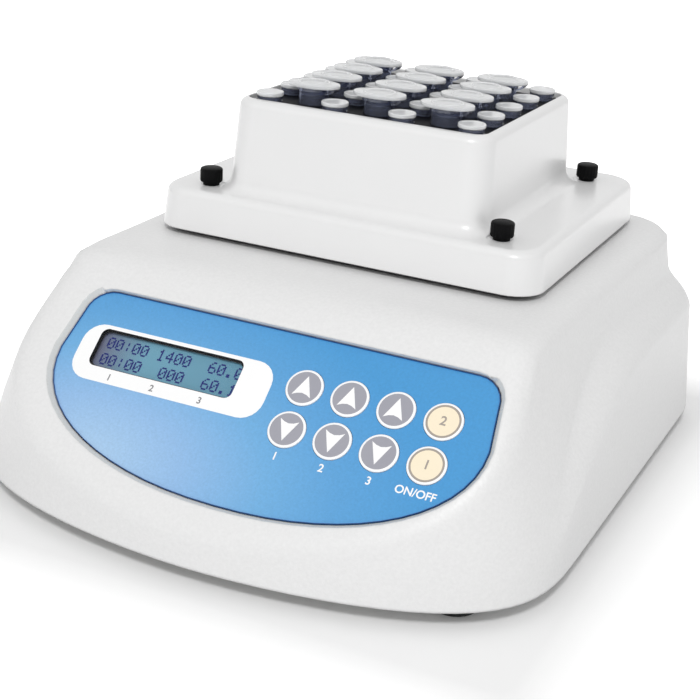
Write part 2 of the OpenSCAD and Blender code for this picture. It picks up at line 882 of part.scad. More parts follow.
connector_w = 22;
connector_d = 6;
connector_y = cover_y + cover_d / 2 - cover_wall - 1 - 14;
module block_connector() {
    color("whitesmoke")
        translate([0, connector_y, platform_z + 0.5])
            rounded_plate(connector_w - 0.4, connector_d - 0.4, 0.8, tray_z + base_tray_t + 3 - platform_z - 0.5);
}

module insulation_pad() {
    color("khaki")
        translate([0, block_y, tray_z + base_tray_t])
            rounded_plate(2 * block_hw, 2 * block_hd, 4, pad_t);
}

module heater_plate() {
    color("orangered")
        translate([0, block_y, tray_z + base_tray_t + pad_t])
            rounded_plate(2 * block_hw - 4, 2 * block_hd - 4, 3, heater_t);
}

module thermoblock() {
    color("black")
        difference() {
            translate([0, block_y, block_z])
                rounded_plate(2 * block_hw, 2 * block_hd, 4, block_h);
            for (row = large_spots, p = row)
                translate([p.x, p.y, 0]) well(large_tube_d, large_stand, large_body);
            for (row = small_spots, p = row)
                translate([p.x, p.y, 0]) well(small_tube_d, small_stand, small_body);
            translate([0, block_y - block_hd - 1, block_z + 5])
                rotate([-90, 0, 0]) cylinder(r = 1.6, h = 14);
        }
}

module well(d, stand, body) {
    top = block_top + stand;
    straight = body * 0.55;
    r = d / 2 + well_gap;
    translate([0, 0, top - straight]) cylinder(r = r, h = straight + 5);
    translate([0, 0, top - body - 0.4]) cylinder(r1 = r * 0.34, r2 = r, h = body - straight + 0.4);
}

module temperature_sensor() {
    color("goldenrod")
        translate([0, block_y - block_hd - 0.6, block_z + 5])
            rotate([-90, 0, 0]) {
                cylinder(r = 1.5, h = 12);
                translate([0, 0, -1.6]) cylinder(r = 2.6, h = 2);
            }
}

// one rounded-rectangle ring of the cover: half width, half depth, corner
// radius, height and the middle's y
ring_steps = 7;
function rect_ring(hw, hd, r, z, cy) =
    [for (q = [0:3], a = steps(q * 90, q * 90 + 90 + 90 / ring_steps, ring_steps + 1))
        let (sx = (q == 0 || q == 3) ? 1 : -1, sy = q < 2 ? 1 : -1)
            [sx * (hw - r) + r * cos(a), cy + sy * (hd - r) + r * sin(a), z]];

module ring_shell(rings) {
    count = len(rings[0]);
    turns = len(rings);
    points = [for (r = rings) each r];
    polyhedron(
        points,
        concat(
            [for (i = [0:turns - 1], j = [0:count - 1])
                let (a = i * count, b = ((i + 1) % turns) * count, k = (j + 1) % count)
                    [a + j, b + k, a + k]],
            [for (i = [0:turns - 1], j = [0:count - 1])
                let (a = i * count, b = ((i + 1) % turns) * count, k = (j + 1) % count)
                    [a + j, b + j, b + k]]
        )
    );
}

upper_draft = 0.053;
lower_draft = 0.094;
upper_corner = 9;
lower_corner = 11;
edge_r = 3;
foot_r = 5;
upper_hw = block_hw + 3.3;
upper_hd = block_hd + 4.9;

module block_cover() {
    w = cover_w / 2;
    d = cover_d / 2;
    arc = [15:15:75];
    // lower part: wall, rounded top edge
    low_in = lower_draft * cover_h;
    outer = concat(
        [rect_ring(w, d, lower_corner, cover_z, cover_y)],
        [for (a = [0:15:90])
            let (
                z = cover_top - edge_r + edge_r * sin(a),
                in = lower_draft * (cover_h - edge_r) + edge_r * (1 - cos(a))
            ) rect_ring(w - in, d - in, lower_corner - in / 2, z, cover_y)],
        // hollow fillet up to the upper part
        [for (a = [0:15:90])
            let (
                run = upper_draft * (rim_z - cover_top - foot_r),
                in = foot_r * (1 - sin(a)),
                z = cover_top + foot_r * (1 - cos(a))
            ) rect_ring(upper_hw + run + in, upper_hd + run + in,
                        upper_corner + in, z, block_y)],
        [for (a = [0:15:90])
            let (
                z = rim_z - edge_r + edge_r * sin(a),
                in = edge_r * (1 - cos(a))
            ) rect_ring(upper_hw - in, upper_hd - in, upper_corner - in, z, block_y)]
    );
    gap = 0.3;
    inner = [
        rect_ring(block_hw + gap, block_hd + gap, 4 + gap, rim_z, block_y),
        rect_ring(block_hw + gap, block_hd + gap, 4 + gap, rim_z - 5, block_y),
        rect_ring(upper_hw - cover_wall, upper_hd - cover_wall, 6, rim_z - 6, block_y),
        rect_ring(upper_hw - cover_wall + 1, upper_hd - cover_wall + 1, 6,
                  cover_top - cover_wall, block_y),
        rect_ring(w - cover_wall - low_in, d - cover_wall - low_in, 7,
                  cover_top - cover_wall, cover_y),
        rect_ring(w - cover_wall, d - cover_wall, 8, cover_z, cover_y)
    ];
    color("white")
        resize([0, 0, 0]) // keeps the moulding as one closed mesh
            difference() {
                union() {
                    ring_shell(concat(outer, inner));
                    for (sx = [-1, 1], sy = [-1, 1])
                        translate([sx * screw_w / 2, screw_y + sy * screw_d / 2,
                                   tray_z + base_tray_t + 0.1])
                            cylinder(r = 5, h = cover_top - tray_z - base_tray_t - 0.6);
                    for (sx = [-1, 1], sy = [-1, 1])
                        translate([sx * fix_x, cover_y + sy * fix_y, tray_z + base_tray_t + 0.05])
                            cylinder(r = 3.6, h = cover_top - tray_z - base_tray_t - 1);
                }
                for (sx = [-1, 1], sy = [-1, 1])
                    translate([sx * fix_x, cover_y + sy * fix_y, tray_z])
                        cylinder(r = fix_r + 0.02, h = base_tray_t + 7);
                for (sx = [-1, 1], sy = [-1, 1])
                    translate([sx * screw_w / 2, screw_y + sy * screw_d / 2, 0]) {
                        cylinder(r = screw_r + 0.3, h = 2 * cover_top);
                        translate([0, 0, cover_top]) cylinder(r = knob_d / 2 + 0.4, h = knob_h);
                    }
            }
}

module cover_screws() {
    color("silver")
        for (sx = [-1, 1], sy = [-1, 1])
            translate([sx * fix_x, cover_y + sy * fix_y, tray_z + 0.1]) {
                cylinder(r1 = fix_r + 1.3, r2 = fix_r, h = 1.3);
                cylinder(r = fix_r, h = base_tray_t + 5);
            }
}

module thumb_screw(k) {
    sx = k % 2 == 0 ? -1 : 1;
    sy = k < 2 ? -1 : 1;
    grooves = 20;
    color("black")
        translate([sx * screw_w / 2, screw_y + sy * screw_d / 2, 0]) {
            translate([0, 0, cover_top + 0.15])
                difference() {
                    rotate_extrude()
                        polygon([[0, 0], [knob_d / 2 - 0.5, 0], [knob_d / 2, 0.5],
                                 [knob_d / 2, knob_h - 0.8], [knob_d / 2 - 0.8, knob_h], [0, knob_h]]);
                    for (i = [0:grooves - 1])
                        rotate([0, 0, i * 360 / grooves])
                            translate([knob_d / 2 + 0.1, 0, 0.8])
                                rotate([0, 0, 45]) cube([0.6, 0.6, 2 * knob_h - 4], center = true);
                }
            translate([0, 0, platform_z + 0.4])
                cylinder(r = screw_r, h = cover_top + 1 - platform_z);
        }
}
module thumb_screw_1() { thumb_screw(0); }
module thumb_screw_2() { thumb_screw(1); }
module thumb_screw_3() { thumb_screw(2); }
module thumb_screw_4() { thumb_screw(3); }

// ---- tubes --------------------------------------------------------------
// A tube with its cap on: body, collar, cap with its plug, thumb tab and the
// strap that joins cap and tube. A hair of air is left round the plug.
module tube(d, stand, body, cap_d, cap_t, tab) {
    r = d / 2;
    t = 0.9;
    top = block_top + stand;
    straight = body * 0.55;
    air = 0.1;
    color("ghostwhite")
        translate([0, 0, top]) {
            rotate_extrude()
                polygon([
                    [0, -body], [r * 0.34, -body], [r, -straight], [r, -2.2],
                    [r + 0.7, -1.8], [r + 0.7, 0], [r - t, 0], [r - t, -straight],
                    [r * 0.34 - 0.2, -body + t], [0, -body + t]
                ]);
            rotate_extrude()
                polygon([
                    [0, -2.6], [r - t - air, -2.6], [r - t - air, air],
                    [cap_d / 2, air], [cap_d / 2, cap_t - 0.3],
                    [cap_d / 2 - 0.3, cap_t], [0, cap_t]
                ]);
            if (tab > 0) {
                translate([-cap_d / 2 - tab, -2.2, air])
                    cube([tab + 1.5, 4.4, cap_t - 0.5]);
                translate([cap_d / 2 - 1.5, -2.8, air])
                    cube([tab * 0.7 + 1.5, 5.6, cap_t - 0.7]);
                translate([r + 0.2, -2.8, -1.4])
                    cube([cap_d / 2 + tab * 0.7 - r - 0.2, 5.6, 0.6]);
                translate([cap_d / 2 + tab * 0.7 - 0.6, -2.8, -1.4])
                    cube([0.6, 5.6, cap_t]);
            }
        }
}

large_cap_d = large_tube_d + 1.8;
small_cap_d = small_tube_d + 1.6;
large_cap_t = 1.8;
small_cap_t = 1.5;
tab_len = 4;

module large_tubes(j) {
    for (p = large_spots[j])
        translate([p.x, p.y, 0])
            tube(large_tube_d, large_stand, large_body, large_cap_d, large_cap_t, tab_len);
}
module small_tubes(j) {
    for (p = small_spots[j])
        translate([p.x, p.y, 0])
            tube(small_tube_d, small_stand, small_body, small_cap_d, small_cap_t, 0.8);
}
module large_tubes_1() { large_tubes(0); }
module large_tubes_2() { large_tubes(1); }
module large_tubes_3() { large_tubes(2); }
module large_tubes_4() { large_tubes(3); }
module small_tubes_1() { small_tubes(0); }
module small_tubes_2() { small_tubes(1); }
module small_tubes_3() { small_tubes(2); }
module small_tubes_4() { small_tubes(3); }
module small_tubes_5() { small_tubes(4); }

housing();
base_plate();
rubber_feet();
base_screws();
keypad_overlay();
keypad_backing();
display_window();
display_module();
control_board();
board_standoffs();
key_time_up();
key_speed_up();
key_heat_up();
key_time_down();
key_speed_down();
key_heat_down();
key_run_speed();
key_run_time();
switch_frame();
power_rocker();
power_inlet();
chassis_posts();
drive_chassis();
chassis_bushes();
motor_housing();
motor_stator();
motor_rotor();
motor_bearings();
eccentric_hub();
counterweight();
eccentric_inner_ring();
eccentric_outer_ring();
support_crank_1();
support_crank_2();
support_crank_3();
platform();
platform_bushes();
block_tray();
insulation_pad();
heater_plate();
thermoblock();
temperature_sensor();
block_connector();
block_cover();
cover_screws();
thumb_screw_1();
thumb_screw_2();
thumb_screw_3();
thumb_screw_4();
large_tubes_1();
large_tubes_2();
large_tubes_3();
large_tubes_4();
small_tubes_1();
small_tubes_2();
small_tubes_3();
small_tubes_4();
small_tubes_5();
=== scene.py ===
# %% [markdown]
# # A bench thermal mixer
#
# A thermal mixer heats small sample tubes and shakes them on a tight orbit. Its body is a
# moulded plastic housing with a sloping keypad, and a lift-off metal block full of tubes
# stands on top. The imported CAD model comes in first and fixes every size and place. What
# follows gives each piece the finish and the fine shape of the real one. All lengths are
# in metres, so `MM` turns millimetres into Blender's unit.

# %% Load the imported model
import math

import bmesh
import bpy
from mathutils import Matrix, Vector


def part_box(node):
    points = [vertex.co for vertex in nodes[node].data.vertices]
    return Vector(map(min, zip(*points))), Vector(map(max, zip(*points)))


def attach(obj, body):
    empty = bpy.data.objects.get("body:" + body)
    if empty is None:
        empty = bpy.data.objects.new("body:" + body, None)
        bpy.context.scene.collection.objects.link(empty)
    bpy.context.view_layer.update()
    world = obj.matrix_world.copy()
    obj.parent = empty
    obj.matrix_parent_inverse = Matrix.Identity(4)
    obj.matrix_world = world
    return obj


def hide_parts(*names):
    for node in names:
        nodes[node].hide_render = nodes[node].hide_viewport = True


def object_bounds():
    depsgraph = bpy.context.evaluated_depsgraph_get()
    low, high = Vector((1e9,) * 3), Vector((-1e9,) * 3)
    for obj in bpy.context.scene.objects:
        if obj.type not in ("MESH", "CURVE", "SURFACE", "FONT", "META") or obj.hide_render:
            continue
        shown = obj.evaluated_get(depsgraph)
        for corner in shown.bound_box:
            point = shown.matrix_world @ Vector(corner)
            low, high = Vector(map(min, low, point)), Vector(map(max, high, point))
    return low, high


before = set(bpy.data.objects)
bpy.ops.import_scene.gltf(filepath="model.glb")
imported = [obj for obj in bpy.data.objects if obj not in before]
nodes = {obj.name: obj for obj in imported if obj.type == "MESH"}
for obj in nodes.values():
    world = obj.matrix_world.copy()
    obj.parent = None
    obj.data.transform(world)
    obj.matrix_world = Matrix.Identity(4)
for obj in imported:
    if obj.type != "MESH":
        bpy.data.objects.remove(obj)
cad_low, cad_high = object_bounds()
MM = 0.001
print("CAD box in mm:", [round((b - a) / MM, 1) for a, b in zip(cad_low, cad_high)])

# %% [markdown]
# ## Camera
#
# The camera stands in front and a little to the right, about 0.55 m away, and looks down.
# Its frame is built from three angles: azimuth turns it round the object, elevation lifts
# it, and roll tips the picture. The lens is long enough to keep the perspective mild.

# %% Place the camera
CAMERA_AT, FOCAL_LENGTH = (0.2069, -0.4556, 0.2351), 77.55
azimuth, elevation, roll = math.radians(24.50), math.radians(21.51), math.radians(3.49)
back = Vector((math.sin(azimuth) * math.cos(elevation),
               -math.cos(azimuth) * math.cos(elevation),
               math.sin(elevation)))
right = Vector((math.cos(azimuth), math.sin(azimuth), 0))
above = back.cross(right)
tilted_right = math.cos(roll) * right + math.sin(roll) * above
tilted_above = math.cos(roll) * above - math.sin(roll) * right

lens = bpy.data.cameras.new("camera")
lens.lens = FOCAL_LENGTH
lens.clip_start, lens.clip_end = 0.05, 20
camera = bpy.data.objects.new("camera", lens)
camera.matrix_world = Matrix.Translation(CAMERA_AT) @ Matrix(
    (tilted_right, tilted_above, back)).transposed().to_4x4()
bpy.context.scene.collection.objects.link(camera)
bpy.context.scene.camera = camera
print("camera at", [round(v, 3) for v in camera.location])

# %% [markdown]
# ## Helpers for meshes
#
# Every new piece starts as a `bmesh`, Blender's editable mesh, and is shaped by its
# operators. A few steps come back for each piece, so they are functions: `finish_piece`
# makes the object and lets it ride on its CAD body, `lathe` spins a profile into a round
# shape, `slab` pulls a flat outline up into a plate, and `place` moves corners to where
# they belong.

# %% Mesh helpers
MERGE = 0.002 * MM  # corners that lie closer than this are one corner


def finish_piece(name, mesh, body, finish, stands_for=(), sharp=40):
    """Turns a bmesh into an object that rides on a CAD body, smooth across gentle edges."""
    bmesh.ops.remove_doubles(mesh, verts=mesh.verts, dist=MERGE)
    for face in mesh.faces:
        face.smooth = True
    for edge in mesh.edges:
        edge.smooth = (len(edge.link_faces) == 2
                       and edge.calc_face_angle(math.pi) < math.radians(sharp))
    data = bpy.data.meshes.new(name)
    mesh.to_mesh(data)
    mesh.free()
    for surface in ([finish] if isinstance(finish, bpy.types.Material) else finish):
        data.materials.append(surface)
    piece = bpy.data.objects.new(name, data)
    bpy.context.scene.collection.objects.link(piece)
    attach(piece, body)
    if stands_for:
        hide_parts(*stands_for)
    return piece


def lathe(mesh, profile, steps):
    """Spins a profile of (radius, height) pairs in mm about Z and returns its corners."""
    dots = [mesh.verts.new((r * MM, 0, z * MM)) for r, z in profile]
    lines = [mesh.edges.new(pair) for pair in zip(dots, dots[1:])]
    bmesh.ops.spin(mesh, geom=dots + lines, cent=(0, 0, 0), axis=(0, 0, 1),
                   dvec=(0, 0, 0), angle=math.tau, steps=steps, use_merge=True)
    verts = linked(dots[0])
    bmesh.ops.remove_doubles(mesh, verts=verts, dist=MERGE / 2)
    verts = [v for v in verts if v.is_valid]
    bmesh.ops.recalc_face_normals(mesh, faces=faces_round(verts))
    return verts


def linked(vert):
    """All corners joined to one by edges, nearest first."""
    found = [vert]
    known = {vert}
    for spot in found:
        for edge in spot.link_edges:
            other = edge.other_vert(spot)
            if other not in known:
                known.add(other)
                found.append(other)
    return found


def faces_round(verts):
    """All faces at some corners, each one once and in a fixed order."""
    return list(dict.fromkeys(f for v in verts for f in v.link_faces))


def slab(mesh, outline, low, high):
    """Pulls an outline of (x, y) pairs in mm up from one height to another."""
    dots = [mesh.verts.new((x * MM, y * MM, low * MM)) for x, y in outline]
    base = mesh.faces.new(dots)
    pulled = bmesh.ops.extrude_face_region(mesh, geom=[base], use_keep_orig=True)["geom"]
    top = [v for v in pulled if isinstance(v, bmesh.types.BMVert)]
    bmesh.ops.translate(mesh, verts=top, vec=(0, 0, (high - low) * MM))
    bmesh.ops.recalc_face_normals(mesh, faces=faces_round(top + dots))
    return top + dots


def rounded(width, depth, radius):
    """The outline of a rectangle with round corners, in mm."""
    points, steps = [], 6
    for sx, sy, start in ((1, 1, 0), (-1, 1, 90), (-1, -1, 180), (1, -1, 270)):
        for i in range(steps + 1):
            turn = math.radians(start + 90 * i / steps)
            points.append((sx * (width / 2 - radius) + radius * math.cos(turn),
                           sy * (depth / 2 - radius) + radius * math.sin(turn)))
    return points


def place(mesh, verts, matrix):
    """Moves and turns some corners of a mesh by one matrix."""
    bmesh.ops.transform(mesh, matrix=matrix, verts=verts)


print("mesh helpers ready; corners merge within", MERGE / MM, "mm")

# %% [markdown]
# ## Helpers for materials
#
# A finish is a small tree of shader nodes. `add` puts one node into it, sets its options
# and fills its sockets with numbers or with links from other nodes. Colours are written
# as they look on a screen, in sRGB hex, and `tint` turns them to the linear values that
# the renderer works with.

# %% Material helpers
def tint(code):
    """Turns an sRGB hex colour to the linear red, green, blue and alpha of a socket."""
    parts = [int(code[i:i + 2], 16) / 255 for i in (0, 2, 4)]
    return tuple(c / 12.92 if c <= 0.04045 else ((c + 0.055) / 1.055) ** 2.4
                 for c in parts) + (1.0,)


def add(tree, kind, inputs=(), **options):
    """Adds a node of any kind, sets its options and fills or links its sockets."""
    made = tree.nodes.new("ShaderNode" + kind)
    for name, value in options.items():
        setattr(made, name, value)
    for name, value in dict(inputs).items():
        if isinstance(value, bpy.types.NodeSocket):
            tree.links.new(value, made.inputs[name])
        else:
            made.inputs[name].default_value = value
    return made


def new_finish(name):
    """An empty material with its Principled shader, its tree and its object coordinates."""
    material = bpy.data.materials.new(name)
    material.use_nodes = True
    tree = material.node_tree
    tree.nodes.clear()
    shader = add(tree, "BsdfPrincipled")
    add(tree, "OutputMaterial", {"Surface": shader.outputs["BSDF"]})
    coords = add(tree, "TexCoord").outputs["Object"]
    return material, tree, shader, coords


def grained(name, colour, other, roughness, grain_mm, height_mm, metallic=0.0,
            edge_mm=0.0, patch_mm=18.0, gloss=0.5, coat=0.0):
    """A finish with fine grain in its surface and a faint, broad change of tone."""
    material, tree, shader, coords = new_finish(name)
    patches = add(tree, "TexNoise", {"Vector": coords, "Scale": 1 / (patch_mm * MM),
                                     "Detail": 3.0})
    # a Mix node keeps its two colours in sockets 6 and 7, and the mixed one in output 2
    mixed = add(tree, "Mix", {0: patches.outputs["Fac"], 6: tint(colour), 7: tint(other)},
                data_type="RGBA")
    tree.links.new(mixed.outputs[2], shader.inputs["Base Color"])
    grain = add(tree, "TexNoise", {"Vector": coords, "Scale": 1 / (grain_mm * MM),
                                   "Detail": 2.0, "Roughness": 0.6})
    bump = add(tree, "Bump", {"Height": grain.outputs["Fac"], "Strength": 1.0,
                              "Distance": height_mm * MM})
    # a bevel in the shading rounds the edges, as every mould and brush does
    if edge_mm:
        soft = add(tree, "Bevel", {"Radius": edge_mm * MM}, samples=6)
        tree.links.new(soft.outputs["Normal"], bump.inputs["Normal"])
    tree.links.new(bump.outputs["Normal"], shader.inputs["Normal"])
    worn = add(tree, "MapRange", {"Value": grain.outputs["Fac"], "From Min": 0.3,
                                  "From Max": 0.7, "To Min": roughness - 0.05,
                                  "To Max": roughness + 0.05})
    tree.links.new(worn.outputs["Result"], shader.inputs["Roughness"])
    shader.inputs["Metallic"].default_value = metallic
    shader.inputs["Specular IOR Level"].default_value = gloss
    if coat:
        shader.inputs["Coat Weight"].default_value = coat
        shader.inputs["Coat Roughness"].default_value = 0.2
    return material


print("material helpers ready")

# %% [markdown]
# ## Plastics and paint
#
# The housing is moulded ABS with a fine spark-eroded texture: it scatters light softly and
# shows a faint grit on its near faces. The block's cover is painted smoother and has a
# clear coat. Each finish could be one flat colour, but the light would then show no grain
# in it, so all of them come from the same small noise tree. Real grit is about 0.3 mm, and
# on the housing it is drawn a little coarser so that it still shows.

# %% Mix the plastics and paints
# spark-eroded ABS: soft highlights with a faint grit in them, and rounded edges
moulded_abs = grained("moulded_abs_warm_white", "EDEDED", "E1E1E1", 0.42, 0.8, 0.1,
                      edge_mm=1.3, patch_mm=1.1)
# the same plastic on the recess's leaning wall: a little smoother, and greyer as painted
# shade for the shadowed lip round the keypad
lip_painted_shade = grained("moulded_abs_recess_painted_shade", "D6D7D5", "D2D3D1", 0.3, 0.8, 0.03,
                      edge_mm=1.0)
# sprayed paint under a clear coat: an even white with a sharper sheen on every edge
painted_cover = grained("painted_cover_warm_white", "E9E9E9", "E6E6E6", 0.34, 1.4, 0.015,
                        edge_mm=0.6, coat=0.5)
# baked powder on sheet metal: dull and faintly pebbled, pale grey below and black on top
powder_coat = grained("powder_coated_base_sheet", "C9C9C6", "C2C2BF", 0.55, 0.7, 0.03)
black_paint = grained("black_powder_coat", "18191B", "202124", 0.5, 0.6, 0.02)
# moulded rubber: charcoal, with hardly any highlight
black_rubber = grained("moulded_black_rubber", "17181A", "1E1F21", 0.7, 0.5, 0.03)
# moulded nylon: deep black with a thin, broad sheen; the red one is glossier
black_plastic = grained("moulded_black_nylon", "030304", "060607", 0.5, 0.6, 0.012,
                        gloss=0.08)
switch_red = grained("moulded_red_nylon", "9E1B18", "8F1614", 0.3, 0.6, 0.01)
white_nylon = grained("moulded_white_nylon", "E9E8E2", "E2E1DB", 0.45, 0.5, 0.01)
print("mixed up to", white_nylon.name, "- materials in the file:", len(bpy.data.materials))

# %% [markdown]
# ## Metals and the rest of the inside
#
# The drive and the block are made of turned steel, rolled aluminium, cast zinc and
# bronze. A metal has its colour in its reflection, so these are fully metallic, and what
# tells them apart is how rough the last tool left them. The insulation, the heater film
# and the circuit board aren't metal and scatter light instead.

# %% Mix the metals, the wool, the film and the board
# dyed oxide skin: blue-black, and dull enough to hide reflections
black_anodised = grained("black_anodised_aluminium", "07080D", "0B0C14", 0.5, 0.25, 0.006,
                         gloss=0.1)
# turned steel: bright, with a tight highlight
turned_steel = grained("turned_bright_steel", "C6C8CA", "B4B7BA", 0.28, 0.3, 0.004,
                       metallic=1.0)
# rolled sheet: a paler, broader shine than steel
sheet_aluminium = grained("rolled_aluminium_sheet", "D2D4D6", "C4C7CA", 0.36, 0.4, 0.004,
                          metallic=1.0)
# blackened zinc as cast: dark grey and sandy
cast_zinc = grained("cast_zinc_black", "34363A", "3D4044", 0.55, 0.8, 0.04)
# pressed bronze powder: a muted yellow metal
bronze = grained("sintered_bronze", "B08D57", "9C7A48", 0.4, 0.3, 0.01, metallic=1.0)
# varnished wire: warm red metal, uneven from turn to turn
copper_wire = grained("enamelled_copper_wire", "B5673A", "A2562D", 0.33, 0.5, 0.05,
                      metallic=1.0)
# needled fibre: straw yellow, rough and without any shine
glass_wool = grained("needled_glass_wool", "D9CDA0", "C9BB8A", 0.95, 0.6, 0.25)
# cast film: amber and smooth
polyimide = grained("polyimide_heater_film", "B4651F", "A65A18", 0.3, 0.8, 0.01)
# lacquer on a circuit board: deep green and smooth
solder_mask = grained("green_solder_mask", "0F5A32", "0C4E2B", 0.35, 1.2, 0.01)
print("mixed up to", solder_mask.name, "- materials in the file:", len(bpy.data.materials))

# %% [markdown]
# ## Dress the CAD nodes
#
# Most inner pieces keep their CAD shape, which is already true to the real one. Each of
# them only takes a better finish in its material slots.

# %% Finish the CAD nodes that stay
finish_of = {
    "base_plate": powder_coat, "rubber_feet": black_rubber, "base_screws": turned_steel,
    "keypad_backing": black_plastic, "display_module": solder_mask,
    "control_board": solder_mask, "board_standoffs": bronze,
    "switch_frame": black_plastic, "power_rocker": switch_red, "power_inlet": black_plastic,
    "chassis_posts": turned_steel, "drive_chassis": sheet_aluminium,
    "chassis_bushes": bronze, "motor_housing": cast_zinc, "motor_stator": copper_wire,
    "motor_rotor": turned_steel, "motor_bearings": turned_steel,
    "eccentric_hub": turned_steel, "counterweight": cast_zinc,
    "eccentric_inner_ring": turned_steel, "eccentric_outer_ring": turned_steel,
    "support_crank_1": turned_steel, "support_crank_2": turned_steel,
    "support_crank_3": turned_steel, "platform": black_paint, "platform_bushes": bronze,
    "block_tray": sheet_aluminium, "insulation_pad": glass_wool, "heater_plate": polyimide,
    "thermoblock": black_anodised, "temperature_sensor": bronze,
    "block_connector": white_nylon, "cover_screws": turned_steel,
}


def dress(node_name, finish):
    """Gives a CAD node one finish and leaves its shape alone."""
    data = nodes[node_name].data
    data.materials.clear()
    data.materials.append(finish)


for node_name, finish in finish_of.items():
    dress(node_name, finish)
print("dressed", len(finish_of), "CAD nodes")

# %% [markdown]
# ## The sloping face
#
# The keypad lies on a face that leans back. Its pieces are easier to draw flat, so this
# matrix stands for the face: x runs to the right, y up the slope and z out of the face,
# and zero is in the middle of the keypad sheet. Flat work is laid onto it at the end.

# %% The sloping face's own frame
SLOPE = math.radians(42.2)
PANEL = Matrix.Translation((0, -71.2 * MM, 52.7 * MM)) @ Matrix.Rotation(SLOPE, 4, "X")
print("panel normal:", [round(v, 3) for v in (PANEL.to_3x3() @ Vector((0, 0, 1)))])

# %% [markdown]
# ## The wall of the keypad's recess
#
# A mould never leaves a knife edge round a recess, because the hot plastic would tear
# there. So the wall of the keypad's recess leans back in a soft lip. Its foot is cut off
# by `bisect_plane` and stays where it is, and everything near the upper edge is pushed
# outwards along the face, the more the nearer it lies.

# %% Lean back the wall of the keypad's recess
LIP, LIP_REACH, LIP_FOOT = 1.5 * MM, 5 * MM, 0.1 * MM
BRINK = 0.8 * MM    # every corner of the recess's upper edge lies higher than this
STEEP = 0.3         # a face whose normal rises less than this is a wall


def near_keypad(spot):
    """Whether a point, seen in the sloping face's own frame, lies round the recess."""
    return abs(spot.x) < 88 * MM and -55 * MM < spot.y < 16 * MM


def find_brink(mesh):
    """The recess's upper edges: each one's start, its run and the way out of the recess."""
    brink = []
    for edge in mesh.edges:
        if min(v.co.z for v in edge.verts) > BRINK and len(edge.link_faces) == 2:
            steep = [f for f in edge.link_faces if abs(f.normal.z) < STEEP
                     and abs(min(v.co.z for v in f.verts) - LIP_FOOT) < 0.02 * MM]
            if len(steep) == 1:
                start, end = (v.co.to_2d() for v in edge.verts)
                brink.append((start, end - start, -steep[0].normal.to_2d().normalized()))
    return brink


def push_out(vert, brink):
    """How far a corner near the brink moves outwards, or None if it stays."""
    spot = vert.co.to_2d()
    if abs(vert.co.z) > 6 * MM or all(f.normal.z < STEEP for f in vert.link_faces):
        return None
    near = None
    for start, run, out in brink:
        along = min(1, max(0, (spot - start).dot(run) / run.length_squared))
        gap = spot - (start + along * run)
        if near is None or gap.length < near[0]:
            near = (gap.length, gap, out)
    reach, gap, out = near
    outside = gap.dot(out) > 0 if reach > 0.4 * MM else vert.co.z > BRINK
    if reach >= LIP_REACH or not outside:
        return None
    way = gap.normalized() if reach > 0.05 * MM else out
    return (way * LIP * (1 - reach / LIP_REACH)).to_3d()


def unfold(mesh):
    """A sliver that the push has turned over is undone by turning its longest edge."""
    for _ in range(20):
        mesh.normal_update()
        folded = [f for f in mesh.faces if f.normal.z < -0.5
                  and all(v.co.z > MM for v in f.verts)
                  and abs(f.calc_center_median().x) < 88 * MM]
        for face in folded:
            edge = max(face.edges, key=lambda e: e.calc_length())
            if sum(other in folded for other in edge.link_faces) == 1:
                bmesh.ops.rotate_edges(mesh, edges=[edge])
                break


def ease_recess(mesh):
    """Leans back the recess's wall and gives its faces the greyer finish, which paints the
    lip's shade.
    """
    place(mesh, mesh.verts, PANEL.inverted())
    mesh.normal_update()
    wall = [f for f in mesh.faces if abs(f.normal.z) < STEEP
            and near_keypad(f.calc_center_median())
            and min(v.co.z for v in f.verts) < -0.9 * MM
            and max(v.co.z for v in f.verts) > BRINK]
    around = dict.fromkeys(part for f in wall for part in (*f.edges, *f.verts))
    bmesh.ops.bisect_plane(mesh, geom=wall + list(around), plane_co=(0, 0, LIP_FOOT),
                           plane_no=(0, 0, 1))
    mesh.normal_update()
    brink = find_brink(mesh)
    for face in mesh.faces:
        middle = face.calc_center_median()
        if (abs(face.normal.z) < STEEP and abs(middle.z) < 2 * MM
                and near_keypad(middle)):
            # the wall's faces take the greyer finish: painted shade for the lip
            face.material_index = 1
    pushed = {vert: push_out(vert, brink) for vert in mesh.verts}
    for vert, shift in pushed.items():
        if shift is not None:
            vert.co += shift
    unfold(mesh)
    place(mesh, mesh.verts, PANEL)
    print("recess: brink edges", len(brink), "corners eased",
          sum(shift is not None for shift in pushed.values()))


# %% [markdown]
# ## The moulded shells
#
# The housing and the cover already have their exact form, but their CAD meshes are loose
# flat triangles. A copy is merged into one skin, and shading then runs smoothly over every
# gentle edge, as over the real moulding, while true corners stay sharp.

# %% Smooth the housing and the cover
def merged_copy(node_name):
    """A CAD node's triangles as one joined mesh."""
    mesh = bmesh.new()
    mesh.from_mesh(nodes[node_name].data)
    bmesh.ops.remove_doubles(mesh, verts=mesh.verts, dist=MERGE)
    return mesh


def smooth_skin(node_name, name, body, finish, sharp, shape=None):
    """Replaces a node by a merged copy, changed by `shape` if one is given."""
    mesh = merged_copy(node_name)
    bmesh.ops.dissolve_degenerate(mesh, edges=mesh.edges, dist=MERGE)
    if shape:
        shape(mesh)
    piece = finish_piece(name, mesh, body, finish, [node_name], sharp)
    piece.modifiers.new("even shading", "WEIGHTED_NORMAL").keep_sharp = True
    return piece


# the second finish is the greyer one, painted shade on the recess's leaning wall
housing = smooth_skin("housing", "housing_skin", "base", [moulded_abs, lip_painted_shade],
                      28, ease_recess)
cover = smooth_skin("block_cover", "block_cover_skin", "block", painted_cover, 28)
print("housing faces:", len(housing.data.polygons), "cover faces:", len(cover.data.polygons))

# %% [markdown]
# ## Keypad
#
# A membrane keypad is a printed polyester sheet. The colour is printed on its back, so the
# face keeps an even satin. The blue fades towards the lower left corner. A ramp of colours
# over the distance from that corner makes the fade, and it lies on the sheet itself, so it
# stays in place from every side.

